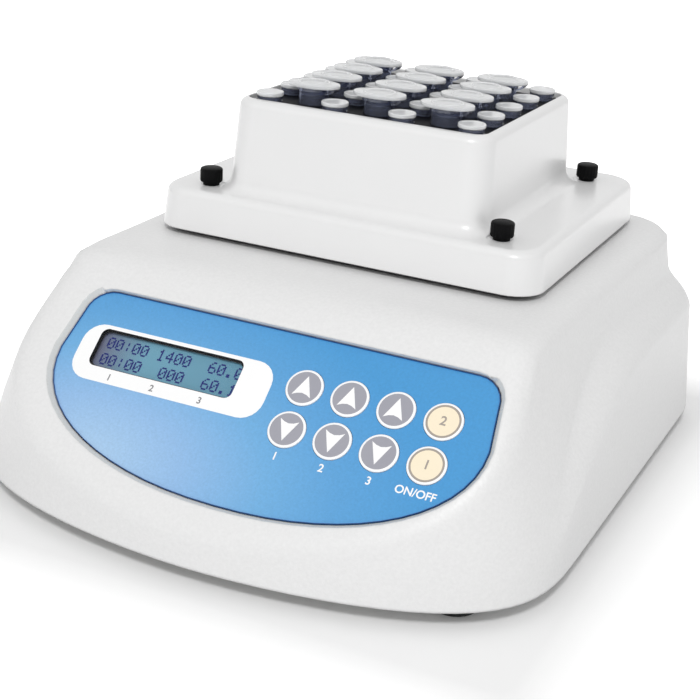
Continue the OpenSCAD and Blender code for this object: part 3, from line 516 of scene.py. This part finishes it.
# %% Mix the panel's colours
def printed_blue():
    """Blue print on polyester: satin, a little mottled, palest at the lower left."""
    material, tree, shader, coords = new_finish("printed_polyester_blue")
    palest = PANEL @ (Vector((-45, -40, 0)) * MM)
    # the fade reaches 115 mm to the right, but is squeezed to 0.6 of that up the slope
    away = add(tree, "Mapping", {"Vector": coords, "Location": palest,
                                 "Rotation": (SLOPE, 0, 0),
                                 "Scale": (1, 0.6, 1)}, vector_type="TEXTURE")
    reach = add(tree, "VectorMath", {0: away.outputs["Vector"]}, operation="LENGTH")
    share = add(tree, "MapRange", {"Value": reach.outputs["Value"], "From Max": 115 * MM})
    ramp = add(tree, "ValToRGB", {"Fac": share.outputs["Result"]})
    ramp.color_ramp.elements[0].color = tint("ABCDEC")
    ramp.color_ramp.elements[1].color = tint("4397D2")
    for at, code in ((0.3, "90BAE5"), (0.55, "6CACDD"), (0.75, "579FD6")):
        ramp.color_ramp.elements.new(at).color = tint(code)
    # print has dots of about 0.1 mm, and they are drawn at 0.8 mm so that they still show
    grain = add(tree, "TexNoise", {"Vector": coords, "Scale": 1 / (0.8 * MM),
                                   "Detail": 3.0, "Roughness": 0.7})
    specks = add(tree, "MapRange", {"Value": grain.outputs["Fac"], "From Min": 0.3,
                                    "From Max": 0.7, "To Min": 0.93, "To Max": 1.07})
    mottled = add(tree, "HueSaturation", {"Value": specks.outputs["Result"],
                                          "Color": ramp.outputs["Color"]})
    tree.links.new(mottled.outputs["Color"], shader.inputs["Base Color"])
    bump = add(tree, "Bump", {"Height": grain.outputs["Fac"], "Distance": 0.01 * MM})
    tree.links.new(bump.outputs["Normal"], shader.inputs["Normal"])
    shader.inputs["Roughness"].default_value = 0.38
    return material


blue_print = printed_blue()
# a thin dark blue strip low in the recess's wall, with little shine: painted shade for the
# sheet's shadowed edge
navy_shade_rim = grained("navy_painted_shade_rim", "17407C", "1B4788", 0.4, 0.5, 0.006)
# printed inks under polyester: flat colours with the sheet's even satin
white_print = grained("printed_polyester_white", "FEFEFE", "FBFBFB", 0.4, 0.5, 0.006)
grey_print = grained("printed_polyester_grey", "A4A4AD", "9C9CA6", 0.38, 0.5, 0.006)
cream_print = grained("printed_polyester_cream", "FCEFD5", "F8EACD", 0.38, 0.5, 0.006)
taupe_print = grained("printed_polyester_taupe", "A89F96", "A1988F", 0.4, 0.5, 0.006)
grey_ink = grained("printed_polyester_ink_grey", "8A8A8C", "808082", 0.4, 0.5, 0.006)
# matt black ink: it swallows light; partly the window's black border and partly painted shade
# for the window's depth, which reads as a dark frame
black_mask_and_shade = grained("matt_black_mask_and_painted_shade", "0B0C0F", "101116", 0.6, 0.5, 0.004)
print("prints:", blue_print.name, white_print.name, grey_print.name, cream_print.name)

# %% [markdown]
# ### Overlay sheet
#
# The sheet keeps its CAD outline and its holes. A thin navy strip stands round it low in the
# recess's wall; it is painted shade for the sheet's shadowed edge, and the camera sees it
# only at the left and top. A curve could be drawn for it by hand, but the sheet's own outline
# fits exactly: it is walked off the sheet's face, filled, inset to a narrow ring and pulled
# up.

# %% Make the overlay sheet and the painted shade round it
WINDOW = (-32.0, -2.9)          # the display window's middle on the face, in mm
SHADE_RIM_WIDTH, SHADE_RIM_HEIGHT = 0.2 * MM, 0.35 * MM


def in_panel(mesh, x=0.0, y=0.0):
    """Lays flat work onto the sloping face, shifted in the face's own mm."""
    place(mesh, mesh.verts, PANEL @ Matrix.Translation((x * MM, y * MM, 0)))


def dark_window_edge(mesh):
    """The sheet's cut edge round the display is inked black, partly as painted shade of the
    window's depth, so that it casts no blue.
    """
    to_face = PANEL.inverted()
    for face in mesh.faces:
        x, y, _ = to_face @ face.calc_center_median() / MM - Vector((*WINDOW, 0))
        if abs(x) < 28 and abs(y) < 8 and abs((to_face.to_3x3() @ face.normal).z) < STEEP:
            face.material_index = 1


overlay = smooth_skin("keypad_overlay", "keypad_sheet", "base", [blue_print, black_mask_and_shade],
                      30, dark_window_edge)


def outer_rim(node_name):
    """The corners of a flat sheet's outline, in the face's own frame and in order."""
    mesh = merged_copy(node_name)
    place(mesh, mesh.verts, PANEL.inverted())
    mesh.normal_update()
    top = {f for f in mesh.faces if f.normal.z > 0.99}
    open_edges = {e for f in top for e in f.edges
                  if sum(other in top for other in e.link_faces) == 1}
    vert = min((v for e in open_edges for v in e.verts), key=lambda v: v.co.x)
    walked = [vert]
    while True:
        ahead = [e for e in vert.link_edges if e in open_edges]
        if not ahead:
            break
        open_edges.discard(ahead[0])
        vert = ahead[0].other_vert(vert)
        walked.append(vert)
    corners = [v.co.to_2d().to_tuple() for v in walked[:-1]]
    mesh.free()
    return corners


rim = outer_rim("keypad_overlay")
mesh = bmesh.new()
sheet = mesh.faces.new([mesh.verts.new((x, y, 0.02 * MM)) for x, y in rim])
mesh.normal_update()
bmesh.ops.inset_region(mesh, faces=[sheet], thickness=SHADE_RIM_WIDTH, use_even_offset=True,
                       use_boundary=True)
bmesh.ops.delete(mesh, geom=[sheet], context="FACES_ONLY")
pulled = bmesh.ops.extrude_face_region(mesh, geom=mesh.faces[:], use_keep_orig=True)["geom"]
bmesh.ops.translate(mesh, verts=[v for v in pulled if isinstance(v, bmesh.types.BMVert)],
                    vec=(0, 0, SHADE_RIM_HEIGHT))
bmesh.ops.recalc_face_normals(mesh, faces=mesh.faces[:])
in_panel(mesh)
# the navy strip stands low in the recess's wall and shows only where the wall faces the
# camera: painted shade of the sheet's edge
finish_piece("keypad_rim_painted_shade", mesh, "base", navy_shade_rim)
print("sheet faces:", len(overlay.data.polygons), "seal corners:", len(rim))

# %% [markdown]
# ### Display plate, window and liquid crystal
#
# A white printed plate frames the display. Behind the clear window lies a black mask and,
# deeper, the pale blue liquid crystal glass with its dot characters. Two rounded outlines
# with the same number of corners are joined by `bridge_loops` into a frame. The frames lie
# a hair above the sheet, as print does, so that no two surfaces share a plane.

# %% Make the display's plate and mask
PLATE_AT = (-29.15, -4.85)      # the white plate's middle on the face, in mm
PRINT_RISE, MASK_LEVEL = 0.03, -1.05    # mm above and below the sheet's face


def flat_frame(mesh, outer, inner, height):
    """A flat ring between two outlines that have the same number of corners."""
    loops = []
    for outline in (outer, inner):
        dots = [mesh.verts.new((x * MM, y * MM, height * MM)) for x, y in outline]
        loops += [mesh.edges.new((a, b)) for a, b in zip(dots, dots[1:] + dots[:1])]
    bmesh.ops.bridge_loops(mesh, edges=loops)
    for face in mesh.faces:
        if face.normal.z < 0:
            face.normal_flip()


def moved(outline, x, y):
    """The same outline round another middle."""
    return [(px + x, py + y) for px, py in outline]


mesh = bmesh.new()
flat_frame(mesh, moved(rounded(70.7, 20.3, 7), *PLATE_AT),
           moved(rounded(53.4, 13.8, 2.5), *WINDOW), PRINT_RISE)
in_panel(mesh)
finish_piece("display_plate_print", mesh, "base", white_print)

# the mask ring is partly the window's black border and partly painted shade for the window's
# depth
mesh = bmesh.new()
flat_frame(mesh, moved(rounded(56.5, 16.4, 2.5), *WINDOW),
           moved(rounded(52.2, 12.6, 2.2), *WINDOW), MASK_LEVEL)
in_panel(mesh)
finish_piece("display_mask", mesh, "base", black_mask_and_shade)
print("display plate and mask made")


# %% Clear the window and lay the liquid crystal behind it
def clear_window():
    """Cast polycarbonate: nearly clear, a little smoky, with a glossy face."""
    material, _, shader, _ = new_finish("clear_polycarbonate")
    shader.inputs["Base Color"].default_value = tint("10161C")
    shader.inputs["Roughness"].default_value = 0.06
    shader.inputs["Alpha"].default_value = 0.14
    return material


def liquid_crystal():
    """Liquid crystal glass with a reflector: pale blue, more violet to the left."""
    material, tree, shader, coords = new_finish("reflective_liquid_crystal_glass")
    # the colour changes across the glass, from 60 mm to 5 mm left of the middle
    along = add(tree, "SeparateXYZ", {"Vector": coords})
    share = add(tree, "MapRange", {"Value": along.outputs["X"], "From Min": -60 * MM,
                                   "From Max": -5 * MM})
    ramp = add(tree, "ValToRGB", {"Fac": share.outputs["Result"]})
    ramp.color_ramp.elements[0].color = tint("8A86A4")
    ramp.color_ramp.elements[1].color = tint("7FC0DE")
    ramp.color_ramp.elements.new(0.35).color = tint("8CCFEC")
    tree.links.new(ramp.outputs["Color"], shader.inputs["Base Color"])
    shader.inputs["Roughness"].default_value = 0.3
    return material


GLASS_LEVEL = -2.1      # mm from the sheet's face
dress("display_window", clear_window())
mesh = bmesh.new()
slab(mesh, moved(rounded(58, 15.6, 0.6), *WINDOW), GLASS_LEVEL - 0.08, GLASS_LEVEL)
in_panel(mesh)
finish_piece("display_glass", mesh, "base", liquid_crystal())
print("liquid crystal glass lies", -GLASS_LEVEL, "mm under the sheet's face")

# %% [markdown]
# ### Dot characters
#
# A character display draws each sign as a grid of five by seven square dots. A font could
# write the digits, but only single squares show the fine gaps between the dots. The rows
# below spell out the grid of each digit, and every filled cell becomes one small square.
# The readings are plain numbers: a time, a speed and a temperature.

# %% Draw the readings
DOTS = {
    "0": ".###. #...# #..## #.#.# ##..# #...# .###.",
    "1": "..#.. .##.. ..#.. ..#.. ..#.. ..#.. .###.",
    "4": "...#. ..##. .#.#. #..#. ##### ...#. ...#.",
    "6": "..##. .#... #.... ####. #...# #...# .###.",
    ":": "..... ..#.. ..#.. ..... ..#.. ..#.. .....",
    ".": "..... ..... ..... ..... ..... .##.. .##..",
}
DOT_ACROSS, DOT_DOWN, DOT_HALF = 0.54, 0.6, 0.3     # steps between dots and half a dot
SIGN_PITCH, LINE_PITCH = 3.2, 6.0                   # steps between signs and lines
FIRST_DOT = (-56.0, 1.9)                            # the upper left dot on the face
# the dyed crystal: dark violet-blue marks, as flat as ink
lcd_ink = grained("liquid_crystal_dark_blue", "2A3A9C", "26348E", 0.5, 0.5, 0.002)
mesh = bmesh.new()
for line, text in enumerate(("00:00 1400  60.0", "00:00  000  60.1")):
    for column, sign in enumerate(text):
        for row, cells in enumerate(DOTS.get(sign, "").split()):
            for cell, mark in enumerate(cells):
                if mark == "#":
                    x = FIRST_DOT[0] + column * SIGN_PITCH + cell * DOT_ACROSS
                    y = FIRST_DOT[1] - line * LINE_PITCH - row * DOT_DOWN
                    spot = Vector((x, y, GLASS_LEVEL + PRINT_RISE)) * MM
                    bmesh.ops.create_grid(mesh, x_segments=1, y_segments=1,
                                          size=DOT_HALF * MM, matrix=Matrix.Translation(spot))
in_panel(mesh)
print("dots:", len(mesh.faces))
finish_piece("display_dots", mesh, "base", lcd_ink)

# %% [markdown]
# ### Printed numbers
#
# The three columns of the display and of the keys are numbered alike, so that each number
# names one setting. Blender's text object draws the signs in its own plain face. It is
# turned into a mesh while it still lies flat, and only then laid onto the sloping face.

# %% Print the numbers
SIGN_SIZE, SMALL_SIGN_SIZE = 3.6, 3.2
KEY_SIGNS_Y, DISPLAY_SIGNS_Y = -24.0, -12.7     # the two lines of print on the face


def printed(mesh, signs, x, y, height, size, slot=0):
    """Adds flat signs, centred on (x, y) in mm, to a mesh."""
    curve = bpy.data.curves.new("signs", "FONT")
    curve.body, curve.size = signs, size * MM
    curve.align_x, curve.align_y = "CENTER", "CENTER"
    curve.offset = 0.02 * size * MM
    holder = bpy.data.objects.new("signs", curve)
    start = set(mesh.verts)
    mesh.from_mesh(holder.to_mesh())
    holder.to_mesh_clear()
    bpy.data.objects.remove(holder)
    bpy.data.curves.remove(curve)
    fresh = [v for v in mesh.verts if v not in start]
    place(mesh, fresh, Matrix.Translation((x * MM, y * MM, height * MM)))
    for face in faces_round(fresh):
        face.material_index = slot


mesh = bmesh.new()
for signs, x in (("1", 16.9), ("2", 32.6), ("3", 48.3), ("ON/OFF", 63.4)):
    printed(mesh, signs, x, KEY_SIGNS_Y, PRINT_RISE, SIGN_SIZE)
in_panel(mesh)
finish_piece("key_numbers_print", mesh, "base", white_print)
mesh = bmesh.new()
for signs, x in (("1", -48.7), ("2", -32.6), ("3", -14.9)):
    printed(mesh, signs, x, DISPLAY_SIGNS_Y, PRINT_RISE + 0.02, SMALL_SIGN_SIZE)
in_panel(mesh)
finish_piece("display_numbers_print", mesh, "base", grey_ink)
print("numbers printed under the display and the keys")

# %% [markdown]
# ### Keys
#
# Each key is a low printed dome in the membrane. Rings of colour could be laid on it, but
# they would overlap or leave gaps. So the dome is one lathe shape whose faces break where
# the print changes, and each ring of faces takes its own colour. The arrows are thin
# printed shapes on top.

# %% Turn and place one key
KEY_X, KEY_PITCH, KEY_ROW = 17.2, 15.5, 14.75   # the first key, and the steps between them
KEY_RADIUS, KEY_TOP = 6.2, 0.5
# rings of colour from the middle out: each one's radius and its material's slot
GREY_RINGS = ((5.42, 1), (math.inf, 0))
CREAM_RINGS = ((4.8, 2), (5.48, 1), (math.inf, 0))
ARROW = ((0, 4.0), (-3.2, -3.1), (-1.6, -2.3), (0, -1.95), (1.6, -2.3), (3.2, -3.1))


def key(name, column, row, rings, finishes, number=None):
    """One key in its hole: with a printed number, or else with an arrow up or down."""
    mesh = bmesh.new()
    profile = [(0, -0.45), (KEY_RADIUS - 0.1, -0.45), (KEY_RADIUS, -0.35),
               (KEY_RADIUS, 0.2), (KEY_RADIUS - 0.12, 0.4), (KEY_RADIUS - 0.35, KEY_TOP)]
    profile += [(r, KEY_TOP) for r, _ in reversed(rings[:-1])] + [(0, KEY_TOP)]
    lathe(mesh, profile, 64)
    for face in mesh.faces:
        centre = face.calc_center_median()
        reach = math.hypot(centre.x, centre.y) / MM
        if centre.z > 0.3 * MM:
            face.material_index = next(slot for limit, slot in rings if reach < limit)
    if number:
        printed(mesh, number, 0, 0, KEY_TOP + 0.02, 4.2, slot=3)
    else:
        up = 1 if row == 0 else -1
        slab(mesh, [(x * up, y * up) for x, y in ARROW], KEY_TOP + 0.01, KEY_TOP + 0.04)
    in_panel(mesh, KEY_X + column * KEY_PITCH, -row * KEY_ROW)
    finish_piece(name + "_dome", mesh, name, finishes, [name], 30)


# %% Make the eight keys
grey_key = [white_print, grey_print]
cream_key = [white_print, taupe_print, cream_print, taupe_print]
for column, what in enumerate(("time", "speed", "heat")):
    for row, way in enumerate(("up", "down")):
        key(f"key_{what}_{way}", column, row, GREY_RINGS, grey_key)
key("key_run_speed", 3, 0, CREAM_RINGS, cream_key, "2")
key("key_run_time", 3, 1, CREAM_RINGS, cream_key, "1")

# %% [markdown]
# ## Thumb screws
#
# The black nylon knobs are moulded with fine knurls, a flat top and a narrow collar
# underneath. The knob is a lathe shape with sixty columns, and every third column of its
# side is pressed in, which cuts all the knurls in one step.

# %% Make the thumb screws
KNOB_RADIUS, KNOB_COLUMNS, KNURL_DEPTH = 3.95, 60, 0.055


def thumb_screw(name):
    low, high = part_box(name)
    centre = (low + high) / 2
    top, foot = high.z / MM, low.z / MM
    mesh = bmesh.new()
    verts = lathe(mesh, [(0, top), (3.3, top),
                         (3.75, top - 0.25), (KNOB_RADIUS, top - 0.7),
                         (KNOB_RADIUS, top - 4.5), (3.7, top - 4.9), (2.9, top - 5.1),
                         (2.9, top - 6), (1.5, top - 6), (1.5, foot + 0.5), (1.2, foot),
                         (0, foot)], KNOB_COLUMNS)
    for vert in verts:
        column = round(math.atan2(vert.co.y, vert.co.x) / math.tau * KNOB_COLUMNS)
        if column % 3 == 0 and vert.co.xy.length > (KNOB_RADIUS - 0.15) * MM:
            vert.co.xy *= 1 - KNURL_DEPTH
    place(mesh, mesh.verts, Matrix.Translation((centre.x, centre.y, 0)))
    finish_piece(name + "_knob", mesh, name, black_plastic, [name], 35)


for number in range(1, 5):
    thumb_screw(f"thumb_screw_{number}")
print("thumb screws made: 4")

# %% [markdown]
# ## Marks on the rear switch
#
# A rocker carries a bar for on and a ring for off, stamped in white on its two faces. The
# faces lean against each other, so each mark is drawn flat and then turned to its own
# face. Both marks ride on the rocker and tilt with it.

# %% Stamp the rocker
ROCKER_X = -62.0                    # the middle of the switch, in mm
MARK_REACH, MARK_RISE = 1.9, 0.04   # half a mark's height, and how proud the stamp stands


def on_rocker(mesh, y, z, lean):
    """Lays a flat mark onto a face of the rocker that leans by some degrees."""
    place(mesh, mesh.verts, Matrix.Translation(Vector((ROCKER_X, y, z)) * MM)
          @ Matrix.Rotation(math.radians(lean - 90), 4, "X"))


def ellipse(half_width, half_depth, steps):
    """The outline of an oval or a circle, in mm."""
    turns = [math.tau * i / steps for i in range(steps)]
    return [(half_width * math.cos(turn), half_depth * math.sin(turn)) for turn in turns]


mesh = bmesh.new()
slab(mesh, [(-0.35, -MARK_REACH), (0.35, -MARK_REACH), (0.35, MARK_REACH),
            (-0.35, MARK_REACH)], 0, MARK_RISE)
on_rocker(mesh, 111.23, 32.2, -2.18)
finish_piece("rocker_on_mark", mesh, "power_rocker", white_print)
mesh = bmesh.new()
flat_frame(mesh, ellipse(MARK_REACH, MARK_REACH, 40), ellipse(1.25, 1.25, 40), MARK_RISE)
on_rocker(mesh, 112.69, 24.8, 24.77)
finish_piece("rocker_off_mark", mesh, "power_rocker", white_print)
print("rocker marked")

# %% [markdown]
# ## Sample tubes
#
# Tubes of this kind are injection moulded in polypropylene: thin, milky and a little
# glossy. A larger tube has a long oval lid with a raised ring on it, a clear stopper that
# shows as a cup below, and a living hinge at one end. A small tube has a plain cap and a
# ringed collar. Each kind is a few lathe shapes at the origin, made again for every well
# of its row and moved there, so all tubes of a kind are alike.

# %% Mix the polypropylene finishes
def milky(name, colour, through, roughness):
    """Natural polypropylene: it lets light through but blurs what lies behind."""
    material, tree, shader, coords = new_finish(name)
    cloud = add(tree, "TexNoise", {"Vector": coords, "Scale": 1 / (3 * MM)})
    rough = add(tree, "MapRange", {"Value": cloud.outputs["Fac"],
                                   "To Min": roughness - 0.05, "To Max": roughness + 0.05})
    tree.links.new(rough.outputs["Result"], shader.inputs["Roughness"])
    shader.inputs["Base Color"].default_value = tint(colour)
    shader.inputs["IOR"].default_value = 1.49
    shader.inputs["Transmission Weight"].default_value = through
    return material


# a thick lid scatters most of the light, and a thin wall lets most of it through
milky_lid = milky("polypropylene_frosted_lid", "FCFDFE", 0.34, 0.16)
milky_body = milky("polypropylene_clear_body", "A3A9BE", 0.82, 0.1)
print("tube finishes:", milky_lid.name, milky_body.name)

# %% Model a large tube
BLOCK_TOP = 121.8       # the block's upper face above the floor, in mm
LID_THICKNESS = 1.3


def thin_wall(verts):
    """Gives the clear finish to all faces round some corners."""
    for face in faces_round(verts):
        face.material_index = 1


def large_tube(mesh):
    rim = BLOCK_TOP + 5.8
    # the tube itself: its outside from the tip up, over the rim, and its inside down again
    thin_wall(lathe(mesh, [
        (0, rim - 30), (1.8, rim - 30), (5.3, rim - 16.5), (5.3, rim - 2.4),
        (5.5, rim - 1.6), (6.0, rim - 0.9), (6.0, rim), (4.4, rim), (4.4, rim - 16.5),
        (1.6, rim - 29.1), (0, rim - 29.1)], 40))
    top = rim + 0.1
    # the stopper: a clear cup with a stiff milky bead round its foot
    thin_wall(lathe(mesh, [(0, rim - 2.3), (3.9, rim - 2.3), (4.25, rim - 2.0),
                           (4.25, top + 0.9), (0, top + 0.9)], 48))
    lathe(mesh, [(3.7, rim - 2.7), (4.1, rim - 2.7), (4.33, rim - 2.45),
                 (4.33, rim - 2.2), (4.1, rim - 2.05)], 48)
    plate = slab(mesh, ellipse(9.5, 6.5, 56), top, top + LID_THICKNESS)
    edges = dict.fromkeys(e for v in plate for e in v.link_edges
                          if abs(e.verts[0].co.z - e.verts[1].co.z) < 0.01 * MM)
    bmesh.ops.bevel(mesh, geom=list(edges), offset=0.3 * MM, segments=2, profile=0.5,
                    affect="EDGES", material=-1)
    # the raised ring on the lid
    lathe(mesh, [(4.5, top + 1.25), (4.7, top + 1.55), (4.95, top + 1.7), (5.35, top + 1.7),
                 (5.6, top + 1.55), (5.8, top + 1.25)], 48)
    # the living hinge curls from the tube's collar up to the lid's end
    strap = slab(mesh, [(5.4, -1.9), (6.6, -1.8), (7.9, -1.3), (8.8, -0.4), (9.0, 0.3),
                        (8.4, 0.3), (8.2, -0.1), (7.5, -0.8), (6.5, -1.3), (5.4, -1.4)],
                 -2.4, 2.4)
    place(mesh, strap, Matrix.Translation((0, 0, rim * MM))
          @ Matrix.Rotation(math.radians(90), 4, "X"))
    thin_wall(strap)


# %% Model a small tube
def small_tube(mesh):
    rim = BLOCK_TOP + 2.3
    # the tube with two rings round its collar, and then its cap with a stopper
    thin_wall(lathe(mesh, [
        (0, rim - 24), (1.3, rim - 24), (3.9, rim - 13.2), (3.9, rim - 2.25),
        (4.4, rim - 2.15), (4.4, rim - 1.5), (4.0, rim - 1.35), (4.0, rim - 0.85),
        (4.5, rim - 0.7), (4.5, rim), (3.0, rim), (3.0, rim - 13.2),
        (1.1, rim - 23.1), (0, rim - 23.1)], 32))
    top = rim + 0.1
    lathe(mesh, [(0, rim - 2.6), (2.8, rim - 2.6), (2.9, rim - 0.2), (2.9, top),
                 (4.45, top), (4.7, top + 0.3), (4.7, top + 1.2), (4.5, top + 1.4),
                 (3.6, top + 1.4), (3.4, top + 1.25), (0, top + 1.25)], 40)


# %% Fill the wells
WELL_PITCH = 25.0       # mm from one tube of a row to the next


def row_of_tubes(node_name, maker, count):
    """Makes a row of tubes, with its middle where the CAD row has its middle."""
    low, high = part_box(node_name)
    mesh = bmesh.new()
    for i in range(count):
        start = set(mesh.verts)
        maker(mesh)
        fresh = [v for v in mesh.verts if v not in start]
        x = (i - (count - 1) / 2) * WELL_PITCH * MM
        place(mesh, fresh, Matrix.Translation((x, (low.y + high.y) / 2, 0)))
    finish_piece(node_name + "_moulded", mesh, node_name, [milky_lid, milky_body],
                 [node_name], 35)


for number in range(1, 5):
    row_of_tubes(f"large_tubes_{number}", large_tube, 3)
for number in range(1, 6):
    row_of_tubes(f"small_tubes_{number}", small_tube, 4)
print("tubes made: 12 large and 20 small")

# %% [markdown]
# ## Floor
#
# The floor is seamless white paper. To the camera and in reflections it glows a little, so
# that it looks as white as the surroundings, while the object's own light stays plain. The
# glow grows with the distance from the object's footprint, so the shadow beside it stays.
# The Light Path node tells which rays see the floor directly.

# %% Lay the floor
def seen_directly(tree):
    """A socket that is 1 for what the camera, a reflection or a clear wall shows."""
    path = add(tree, "LightPath")
    seen = add(tree, "Math", {0: path.outputs["Is Camera Ray"],
                              1: path.outputs["Is Glossy Ray"]}, operation="MAXIMUM")
    return add(tree, "Math", {0: seen.outputs["Value"],
                              1: path.outputs["Is Transmission Ray"]},
               operation="MAXIMUM").outputs["Value"]


def floor_finish():
    """White paper: matt, and brighter the farther it lies from the object."""
    material, tree, shader, coords = new_finish("seamless_paper_white")
    shader.inputs["Base Color"].default_value = tint("F4F4F4")
    shader.inputs["Roughness"].default_value = 0.9
    side = add(tree, "VectorMath", {0: coords}, operation="ABSOLUTE")
    past = add(tree, "VectorMath", {0: side.outputs["Vector"],
                                    1: (cad_high[0], cad_high[1], 0)}, operation="SUBTRACT")
    past = add(tree, "VectorMath", {0: past.outputs["Vector"], 1: (0, 0, 0)},
               operation="MAXIMUM")
    away = add(tree, "VectorMath", {0: past.outputs["Vector"]}, operation="LENGTH")
    level = add(tree, "MapRange", {"Value": away.outputs["Value"], "From Min": 4 * MM,
                                   "From Max": 75 * MM, "To Min": 0.05, "To Max": 0.85})
    glow = add(tree, "Math", {0: seen_directly(tree), 1: level.outputs["Result"]},
               operation="MULTIPLY")
    shader.inputs["Emission Color"].default_value = (1, 1, 1, 1)
    tree.links.new(glow.outputs["Value"], shader.inputs["Emission Strength"])
    return material


mesh = bmesh.new()
bmesh.ops.create_grid(mesh, x_segments=1, y_segments=1, size=4.0)
floor_data = bpy.data.meshes.new("floor")
mesh.to_mesh(floor_data)
mesh.free()
floor_data.materials.append(floor_finish())
floor = bpy.data.objects.new("floor", floor_data)
floor.location.z = -0.1 * MM    # a hair lower than the feet, so that nothing shares a plane
bpy.context.scene.collection.objects.link(floor)
print("floor laid:", [round(v, 1) for v in floor.dimensions])

# %% [markdown]
# ## Light
#
# A studio would light a white instrument from all round, so most of the light comes from
# the white surroundings. A small box over the right front is the key light: it draws the
# highlights and the soft shadows. A large soft box over the left front only fills a little.

# %% Hang the lamps
SURROUND_LIGHT = 0.54
AIM = Vector((0, 0, 0.05))
world = bpy.data.worlds.new("studio")
world.use_nodes = True
bpy.context.scene.world = world
sky = world.node_tree
sky.nodes.clear()
level = add(sky, "MapRange", {"Value": seen_directly(sky), "To Min": SURROUND_LIGHT,
                              "To Max": 1.0})
surround = add(sky, "Background", {"Color": (1, 1, 1, 1),
                                   "Strength": level.outputs["Result"]})
add(sky, "OutputWorld", {"Surface": surround.outputs["Background"]})


def lamp(name, spot, size, power):
    """A square lamp that looks at the object; its size is in metres, its power in watts."""
    light = bpy.data.lights.new(name, "AREA")
    light.size, light.energy = size, power
    holder = bpy.data.objects.new(name, light)
    holder.location = spot
    holder.rotation_euler = (AIM - Vector(spot)).to_track_quat("-Z", "Y").to_euler()
    bpy.context.scene.collection.objects.link(holder)


lamp("soft box over the left front", (-0.55, -0.85, 1.05), 0.8, 0.6)
lamp("small box over the right front", (0.4, -1.0, 1.15), 0.25, 9.5)
bpy.context.scene.view_settings.view_transform = "Standard"
